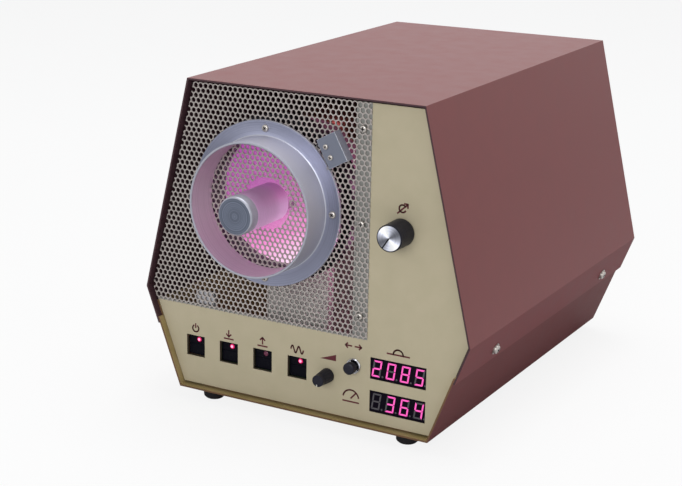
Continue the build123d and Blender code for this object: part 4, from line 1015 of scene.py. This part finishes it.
def flat_plates(shapes, depth, thickness):
    """A mesh of thin flat shapes that stand forward of a depth."""
    mesh = bpy.data.meshes.new("plates")
    work = bmesh.new()
    for shape in shapes:
        fore = [work.verts.new(at(x, depth - thickness, z)) for x, z in shape]
        rear = [work.verts.new(at(x, depth, z)) for x, z in shape]
        work.faces.new(fore)
        work.faces.new(rear[::-1])
        for i in range(len(shape)):
            j = (i + 1) % len(shape)
            work.faces.new((fore[j], fore[i], rear[i], rear[j]))
    bmesh.ops.recalc_face_normals(work, faces=work.faces)
    work.to_mesh(mesh)
    work.free()
    return mesh


display_low, display_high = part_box("display_modules")
display_depth = depth_of(display_low.y)
display_x = (display_low.x + display_high.x) / 2 / MM
upper_z, lower_z = 50.85, 22.6
for label, text, z in (("upper", "2085", upper_z), ("lower", " 364", lower_z)):
    shapes = {True: [], False: []}
    for place, digit in enumerate(text):
        middle = display_x + (place - 1.5) * digit_pitch + digit_shift
        for bar in "abcdefg":
            shape = [(middle + x + zz * math.tan(slant), z + zz) for x, zz in bar_shape(bar)]
            shapes[bar in bars_lit[digit]].append(shape)
        dot = (middle + digit_width / 2 + dot_reach, z - digit_height / 2 + dot_lift)
        shapes[False].append([around(*dot, dot_radius, 45 * k) for k in range(8)])
    for lit, material, word in ((True, lit_bar, "lit"), (False, unlit_bar, "unlit")):
        piece_from(
            f"{label}_digits_{word}", flat_plates(shapes[lit], display_depth, 0.06), material,
            "display_modules",
        )
print("digits ready")


# %% [markdown]
# Several nodes hold a few equal solids, such as the lamps or the screws. This helper finds the
# solids again, by walking over the welded mesh, and so tells where each of them is.


# %% Solids of a node
def solids_of(node):
    """The box of each separate solid of a node, ordered by x, then z, then y."""
    work = bmesh.new()
    work.from_mesh(nodes[node].data)
    bmesh.ops.remove_doubles(work, verts=work.verts, dist=0.002 * MM)
    left = set(work.verts)
    boxes = []
    while left:
        stack, group = [left.pop()], []
        while stack:
            vertex = stack.pop()
            group.append(vertex.co.copy())
            for edge in vertex.link_edges:
                other = edge.other_vert(vertex)
                if other in left:
                    left.remove(other)
                    stack.append(other)
        low = Vector([min(co[axis] for co in group) for axis in range(3)])
        high = Vector([max(co[axis] for co in group) for axis in range(3)])
        boxes.append((low, high))
    work.free()
    boxes.sort(key=lambda box: tuple(round(box[0][axis], 4) for axis in (0, 2, 1)))
    return boxes


# %% Lamps in the keys
lamp_lit = shining("lamp_lit", (1.0, 0.42, 0.62), 1.25, (0.5, 0.02, 0.12))
lamp_rim = shining("lamp_rim", (0.75, 0.01, 0.16), 0.55, (0.4, 0.01, 0.05))
lamp_dim = flecked(
    "lamp_dim", (0.16, 0.035, 0.07), 0.3, 0.3, 600, (0.15, 0.03, 0.065), (0.18, 0.04, 0.08)
)[0]
unlit_lamp = 2
for index, (low, high) in enumerate(solids_of("key_leds")):
    centre = (low + high) / 2
    lamp_front, lamp_back = depth_of(low.y), depth_of(high.y)
    outer = (high.x - low.x) / 2 / MM
    inner = outer * 0.6
    rim_profile = [
        (lamp_front + 0.35, inner), (lamp_front + 0.8, outer), (lamp_back, outer),
        (lamp_back, inner),
    ]
    dome_profile = [
        (lamp_front, 0), (lamp_front + 0.08, inner * 0.55), (lamp_front + 0.35, inner),
        (lamp_back, inner), (lamp_back, 0),
    ]
    dark = index == unlit_lamp
    piece_from(
        f"lamp_dome_{index + 1}", spun(dome_profile, centre, 24),
        lamp_dim if dark else lamp_lit, "key_leds", [] if index else ["key_leds"],
    )
    piece_from(
        f"lamp_rim_{index + 1}", spun(rim_profile, centre, 24),
        lamp_dim if dark else lamp_rim, "key_leds",
    )

# %% [markdown]
# ## Marks on the panel
# Small maroon signs stand where a maker prints words. They are plain signs for what each control
# does: power, pump down, let air in, radio frequency, level, direction, pressure and tuning.

# %% Signs
mark_ink = flecked(
    "mark_ink", (0.11, 0.020, 0.028), 0.5, 0.2, 400, (0.10, 0.018, 0.025), (0.12, 0.024, 0.032)
)[0]


def stroke(points, width):
    """A line of even width as a list of small quads."""
    quads = []
    for a, b in zip(points, points[1:]):
        run = Vector((b[0] - a[0], b[1] - a[1]))
        side = Vector((-run.y, run.x)).normalized() * width / 2
        ahead = run.normalized() * width / 4
        a, b = Vector(a) - ahead, Vector(b) + ahead
        quads.append([tuple(a + side), tuple(b + side), tuple(b - side), tuple(a - side)])
    return quads


def arc(x, z, radius, start, end, steps=16):
    return [around(x, z, radius, start + (end - start) * k / steps) for k in range(steps + 1)]


def arrow(tail, tip, head, width):
    """A line with a two-stroke head."""
    run = Vector((tip[0] - tail[0], tip[1] - tail[1])).normalized()
    side = Vector((-run.y, run.x))
    wings = [tuple(Vector(tip) - run * head + side * head * s) for s in (-1, 1)]
    return stroke([tail, tip], width) + stroke([wings[0], tip, wings[1]], width)


ink, mark_z = 1.35, 53.2
key_x = [(low.x + high.x) / 2 / MM for low, high in (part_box(n) for n in (
    "power_key", "vacuum_key", "vent_key", "rf_key"))]


def cross_line(x, z, reach):
    """A level line, to both sides of x."""
    return stroke([(x - reach, z), (x + reach, z)], ink)


signs = stroke(arc(key_x[0], mark_z, 3.1, 125, 415), ink)
signs += stroke([(key_x[0], mark_z + 0.6), (key_x[0], mark_z + 4.2)], ink)
for x, tail, tip in ((key_x[1], 4.2, -1.5), (key_x[2], -1.6, 4.2)):
    signs += cross_line(x, mark_z - 3.3, 4.6)
    signs += arrow((x, mark_z + tail), (x, mark_z + tip), 2.3, ink)
wave = [
    (key_x[3] - 6 + k * 0.5, mark_z + 3.0 * math.sin(math.radians(30 * k))) for k in range(25)
]
signs += stroke(wave, ink)
level_axis = middle_of("level_knob")
level_x = level_axis.x / MM
wedge_left, wedge_right, wedge_foot = level_x - 7.5, level_x + 7.5, mark_z - 3.0
signs.append([(wedge_left, wedge_foot), (wedge_right, wedge_foot), (wedge_right, mark_z + 2.6)])
way_z, gauge_x, gauge_z, peak_x = 66.2, 46.0, 21.0, 88.0
for tail_x, tip_x in ((46.0, 40.2), (49.0, 54.8)):
    signs += arrow((tail_x, way_z), (tip_x, way_z), 2.0, ink)
signs += stroke(arc(gauge_x, gauge_z, 7.2, 10, 170), ink)
signs += stroke([(gauge_x, gauge_z), (gauge_x + 4.2, gauge_z + 4.6)], ink)
signs += cross_line(gauge_x, gauge_z - 3.0, 7.4)
signs += stroke(arc(peak_x, way_z, 4.4, 0, 180), ink) + cross_line(peak_x, way_z, 10)
knob_x, knob_z, tune_z = knob_axis.x / MM, (knob_axis.z - tray_foot) / MM, 186.6
signs += stroke(arc(knob_x, tune_z, 3.0, 30, 330), ink)
signs += arrow((knob_x - 4.4, tune_z - 4.2), (knob_x + 4.6, tune_z + 4.0), 2.2, ink)
piece_from("panel_signs", flat_plates(signs, panel_front, 0.04), mark_ink, "front_panel")

# %% [markdown]
# The tuning knob's pointer is a dark line on its inlay, and the level knob has a white notch.

# %% Pointer and notch
pointer_ink = flecked(
    "pointer_ink", (0.006, 0.006, 0.008), 0.4, 0.1, 400, (0.005, 0.005, 0.007),
    (0.008, 0.008, 0.01),
)[0]
pointer_angle = 236
tip = around(knob_x, knob_z, inlay_radius - 0.2, pointer_angle)
piece_from(
    "knob_pointer", flat_plates(stroke([(knob_x, knob_z), tip], 1.1), inlay_front, 0.05),
    pointer_ink, "tuning_knob",
)
notch_white = moulded("notch_white", (0.62, 0.60, 0.55), 0.5)
level_front = depth_of(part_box("level_knob")[0].y)
level_z = (level_axis.z - tray_foot) / MM
notch = [
    (level_x + x, level_z + z) for x, z in ((-1.3, -4.9), (-0.4, -5.0), (-0.5, -3.2), (-1.2, -3.2))
]
piece_from("level_notch", flat_plates([notch], level_front + 0.35, 0.4), notch_white, "level_knob")

# %% [markdown]
# ## Screws
# All the screws are pan-head cross-recess screws. One head is turned and gets a cross sunk in its
# crown. The tree then puts it at each place, turned to face the same way as the sheet it holds,
# and turns each screw by its own amount, as a real driver leaves them.


# %% One screw head
def head_object(name, radius, height, shank, washer=0.0, facets=24):
    """A pan head with a sunk cross, facing +Z, base at zero, with its shank below."""
    mesh = bpy.data.meshes.new(name)
    work = bmesh.new()
    rise = [(0.45 * radius, -shank), (0.45 * radius, 0)]
    if washer:
        rise += [(radius * 1.28, 0.0), (radius * 1.28, washer)]
    rise += [
        (radius, washer), (radius, washer + 0.3 * height), (0.93 * radius, washer + 0.66 * height),
        (0.8 * radius, washer + 0.88 * height), (0.62 * radius, washer + height),
    ]
    rings = []
    for r, h in rise:
        spots = [Vector(around(0, 0, r, 360 * k / facets)) * MM for k in range(facets)]
        rings.append([work.verts.new((*spot, h * MM)) for spot in spots])
    for lower, upper in zip(rings, rings[1:]):
        for k in range(facets):
            n = (k + 1) % facets
            work.faces.new((lower[k], lower[n], upper[n], upper[k]))
    work.faces.new(rings[0][::-1])
    arm, half = 0.56 * radius, 0.15 * radius
    quarter = [(half, half), (half, arm), (-half, arm)]
    cross = []
    for turn in range(4):
        c, s = ((1, 0), (0, 1), (-1, 0), (0, -1))[turn]
        cross += [(x * c - y * s, x * s + y * c) for x, y in quarter]
    crown = (washer + height) * MM
    top = [work.verts.new((x * MM, y * MM, crown)) for x, y in cross]
    floor_z = crown - 0.5 * height * MM
    low = [work.verts.new((x * 0.8 * MM, y * 0.8 * MM, floor_z)) for x, y in cross]
    n = len(cross)
    rim_edges = [work.edges.new((top[k], top[(k + 1) % n])) for k in range(n)]
    last = rings[-1]
    outer_edges = [work.edges.get((last[k], last[(k + 1) % facets])) for k in range(facets)]
    bmesh.ops.triangle_fill(work, use_beauty=True, edges=rim_edges + outer_edges)
    for k in range(n):
        work.faces.new((top[k], top[(k + 1) % n], low[(k + 1) % n], low[k]))
    work.faces.new(low)
    bmesh.ops.recalc_face_normals(work, faces=work.faces)
    work.to_mesh(mesh)
    work.free()
    recess = mesh.attributes.new("recess", "BOOLEAN", "FACE")
    for face in mesh.polygons:
        sunk = face.center.z < crown - 0.1 * height * MM and face.center.z > washer * MM
        near = math.hypot(face.center.x, face.center.y) < arm * MM
        recess.data[face.index].value = sunk and near
    return bpy.data.objects.new(name, mesh)


# %% Tree that sets the screws
def screw_tree():
    tree, entry, leave = new_tree(
        "set_screws",
        {"Screw": bpy.types.Object, "Facing": Vector, "Turn Seed": int,
         "Material": bpy.types.Material, "Recess Shade Material": bpy.types.Material},
    )
    source = step(
        tree, "ObjectInfo", "Geometry", {"Object": entry["Screw"]}, transform_space="ORIGINAL"
    )
    spin = add_node(tree, "FunctionNodeRandomValue", data_type="FLOAT")
    for socket in spin.inputs:
        if socket.name == "Max" and socket.type == "VALUE":
            socket.default_value = math.tau
    feed(tree, entry["Turn Seed"], spin.inputs["Seed"])
    value = next(s for s in spin.outputs if s.name == "Value" and s.type == "VALUE")
    heads = step(
        tree, "InstanceOnPoints", "Instances",
        {"Points": entry["Geometry"], "Instance": source, "Rotation": entry["Facing"]},
    )
    own_turn = add_node(tree, "ShaderNodeCombineXYZ", {"Z": value}).outputs[0]
    turned = step(
        tree, "RotateInstances", "Instances", {"Instances": heads, "Rotation": own_turn}
    )
    real = step(tree, "RealizeInstances", "Geometry", {"Geometry": turned})
    values = {"Geometry": real, "Material": entry["Material"]}
    metal = step(tree, "SetMaterial", "Geometry", values)
    # The faces of the sunk cross get the painted shade material.
    sunk = step(tree, "InputNamedAttribute", "Attribute", {"Name": "recess"}, data_type="BOOLEAN")
    values = {"Geometry": metal, "Selection": sunk, "Material": entry["Recess Shade Material"]}
    feed(tree, step(tree, "SetMaterial", "Geometry", values), leave)
    return tree


set_screws = screw_tree()
# Painted shade: the sunk cross of each screw is coloured nearly black.
painted_recess_shade = flecked(
    "painted_recess_shade", (0.035, 0.03, 0.03), 0.6, 0.1, 900, (0.03, 0.026, 0.026), (0.045, 0.04, 0.04)
)[0]


def screws(name, node, places, head, facing, seed, stands_for=()):
    """Heads at the given places, turned from +Z to a direction."""
    seeds = bpy.data.meshes.new(name)
    seeds.from_pydata([tuple(place) for place in places], [], [])
    turn = Vector((0, 0, 1)).rotation_difference(Vector(facing)).to_euler()
    mesh = grown(
        seeds, set_screws,
        {"Screw": head, "Facing": turn, "Turn Seed": seed, "Material": screw_metal,
         "Recess Shade Material": painted_recess_shade},
    )
    smooth(mesh, 40)
    print(name, len(places), "screws", len(mesh.polygons), "faces")
    return piece_from(name, mesh, None, node, stands_for)


# %% Every screw in its place
def moved_to(boxes, y):
    """The middles of solids, carried to one depth."""
    return [Vector(((low.x + high.x) / 2, y, (low.z + high.z) / 2)) for low, high in boxes]


small_head = head_object("small_head", 3.1, 1.9, 2.0)
ring_places = moved_to(solids_of("door_screws"), case_front + flange_front * MM)
screws("ring_screw_heads", "door_screws", ring_places, small_head, (0, -1, 0), 4, ["door_screws"])
small_solids = solids_of("small_screws")
front_places = moved_to([box for box in small_solids if box[0].y < 0], screen_low.y)
rear_places = moved_to([box for box in small_solids if box[0].y > 0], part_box("fan_guard")[1].y)
screws(
    "screen_screw_heads", "small_screws", front_places, small_head, (0, -1, 0), 9,
    ["small_screws"],
)
screws("fan_screw_heads", "small_screws", rear_places, small_head, (0, 1, 0), 2)
bracket_head_height = 1.2
bracket_head = head_object("bracket_head", 2.2, bracket_head_height, 1.0)
bracket_solids = solids_of("switch_screws")
bracket_places = moved_to(bracket_solids, bracket_solids[0][0].y + bracket_head_height * MM)
screws(
    "bracket_screw_heads", "switch_screws", bracket_places, bracket_head, (0, -1, 0), 3,
    ["switch_screws"],
)
side_head = head_object("side_head", 3.9, 2.4, 2.0, washer=0.8)
side_solids = solids_of("cover_screws")
base_half, waist_half, waist_height, screw_height = 120.5, 152.5, 85.3, 64.5
lean = math.atan((waist_half - base_half) / waist_height)
for hand, word in ((1, "right"), (-1, "left")):
    out = Vector((hand * math.cos(lean), 0, -math.sin(lean)))
    reach = base_half + screw_height * math.tan(lean)
    places = [
        at(hand * reach, depth_of((low.y + high.y) / 2), screw_height)
        for low, high in side_solids if (low.x + high.x) * hand > 0
    ]
    screws(
        f"side_screws_{word}", "cover_screws", places, side_head, out, 5 + hand,
        ["cover_screws"] if hand == 1 else (),
    )

# %% [markdown]
# ## Studio
# A white floor, a soft light low in front, a broad one above, a faint one on the right, and an
# even world. The world is plain white to the camera, to reflections and through glass. The floor
# is nearly white to the camera only: reflections show it as a dull bench, as the lower flanges
# of the case mirror it.


# %% White to the eye
def white_to_eye(tree, plain, target, direct, mirrored):
    """Mixes plain white in: one share for camera rays, one for glossy and transmission rays."""
    path = add_node(tree, "ShaderNodeLightPath").outputs
    part = calc(tree, "MULTIPLY", path["Is Camera Ray"], direct)
    for ray in ("Is Glossy Ray", "Is Transmission Ray"):
        part = calc(tree, "MAXIMUM", part, calc(tree, "MULTIPLY", path[ray], mirrored))
    kind = "ShaderNodeBackground" if target.node.type == "OUTPUT_WORLD" else "ShaderNodeEmission"
    white = add_node(tree, kind, {"Color": (1, 1, 1, 1), "Strength": 1.0}).outputs[0]
    mix = add_node(tree, "ShaderNodeMixShader", {"Fac": part, 1: plain, 2: white})
    feed(tree, mix.outputs[0], target)


# %% Floor
floor_mesh = bpy.data.meshes.new("floor")
floor_mesh.from_pydata([(-6, -6, 0), (6, -6, 0), (6, 6, 0), (-6, 6, 0)], [], [(0, 1, 2, 3)])
floor = put("floor", floor_mesh)
floor_paper, paper = flecked(
    "floor_paper", (0.88, 0.88, 0.88), 0.9, 0.0, 3, (0.87, 0.87, 0.87), (0.89, 0.89, 0.89)
)
paper_tree = floor_paper.node_tree
white_to_eye(
    paper_tree, paper.outputs[0], paper_tree.nodes["Material Output"].inputs["Surface"], 0.86, 0.05
)
floor_mesh.materials.append(floor_paper)

# %% World
world = bpy.data.worlds.new("studio")
bpy.context.scene.world = world
world.use_nodes = True
even = world.node_tree.nodes["Background"]
even.inputs["Color"].default_value = (0.94, 0.96, 1.0, 1)
even.inputs["Strength"].default_value = 0.38
white_to_eye(
    world.node_tree, even.outputs[0], world.node_tree.nodes["World Output"].inputs["Surface"],
    1.0, 1.0,
)


# %% Lights
def soft_light(name, place, aim, size, power, colour=(1, 1, 1)):
    data = bpy.data.lights.new(name, "AREA")
    data.shape = "RECTANGLE"
    data.size, data.size_y = size
    data.energy = power
    data.color = colour
    lamp = put(name, data)
    lamp.location = place
    lamp.rotation_euler = (Vector(aim) - Vector(place)).to_track_quat("-Z", "Y").to_euler()


aim = (0, 0, 0.15)
soft_light("front_light", (0.35, -2.4, 0.95), aim, (1.4, 0.7), 19)
soft_light("top_light", (0.1, 0.3, 2.2), aim, (1.8, 1.4), 29)
soft_light("side_light", (2.0, -0.3, 0.7), aim, (0.7, 1.0), 1, (0.94, 0.96, 1.0))

# %% [markdown]
# The glow also leaks out of the barrel's side and lights what stands beside it in the cabinet.

# %% Leaking glow
leaks = ((50, 70, 190, 0.04), (49, 75, 118, 0.03), (-10, 90, 250, 0.008))
for index, (x, y, z, power) in enumerate(leaks):
    data = bpy.data.lights.new(f"leak_{index + 1}", "POINT")
    data.energy = power
    data.color = (1.0, 0.42, 0.72)
    data.shadow_soft_size = 0.006
    leak = put(f"leak_{index + 1}", data)
    leak.location = at(x, y, z)
    leak.visible_camera = False

# %% [markdown]
# ## Camera
# The camera was solved from the corners of the case in the photograph: it stands in front on the
# right and looks a little down. Its place, aim and roll are written in the case's own frame.

# %% Camera
azimuth, elevation, roll = math.radians(31.2685), math.radians(17.6252), math.radians(0.323)
focus = 1617.967
picture = (682, 486)
principal = (275.47, 285.74)
reach = math.cos(elevation)
toward_eye = Vector((math.sin(azimuth) * reach, -math.cos(azimuth) * reach, math.sin(elevation)))
right = (-toward_eye).cross(Vector((0, 0, 1))).normalized()
up = right.cross(-toward_eye)
tilt = Matrix.Rotation(roll, 3, toward_eye)
right, up = tilt @ right, tilt @ up
sensor = 36
lens_data = bpy.data.cameras.new("camera")
lens_data.sensor_fit = "HORIZONTAL"
lens_data.sensor_width = sensor
lens_data.lens = focus / picture[0] * sensor
lens_data.shift_x = (picture[0] / 2 - principal[0]) / picture[0]
lens_data.shift_y = (principal[1] - picture[1] / 2) / picture[0]
camera = put("camera", lens_data)
turn = Matrix((right, up, toward_eye)).transposed().to_4x4()
camera.matrix_world = Matrix.Translation(at(631.1, -1076.7, 507.3)) @ turn
bpy.context.scene.camera = camera
bpy.context.scene.view_settings.view_transform = "Standard"
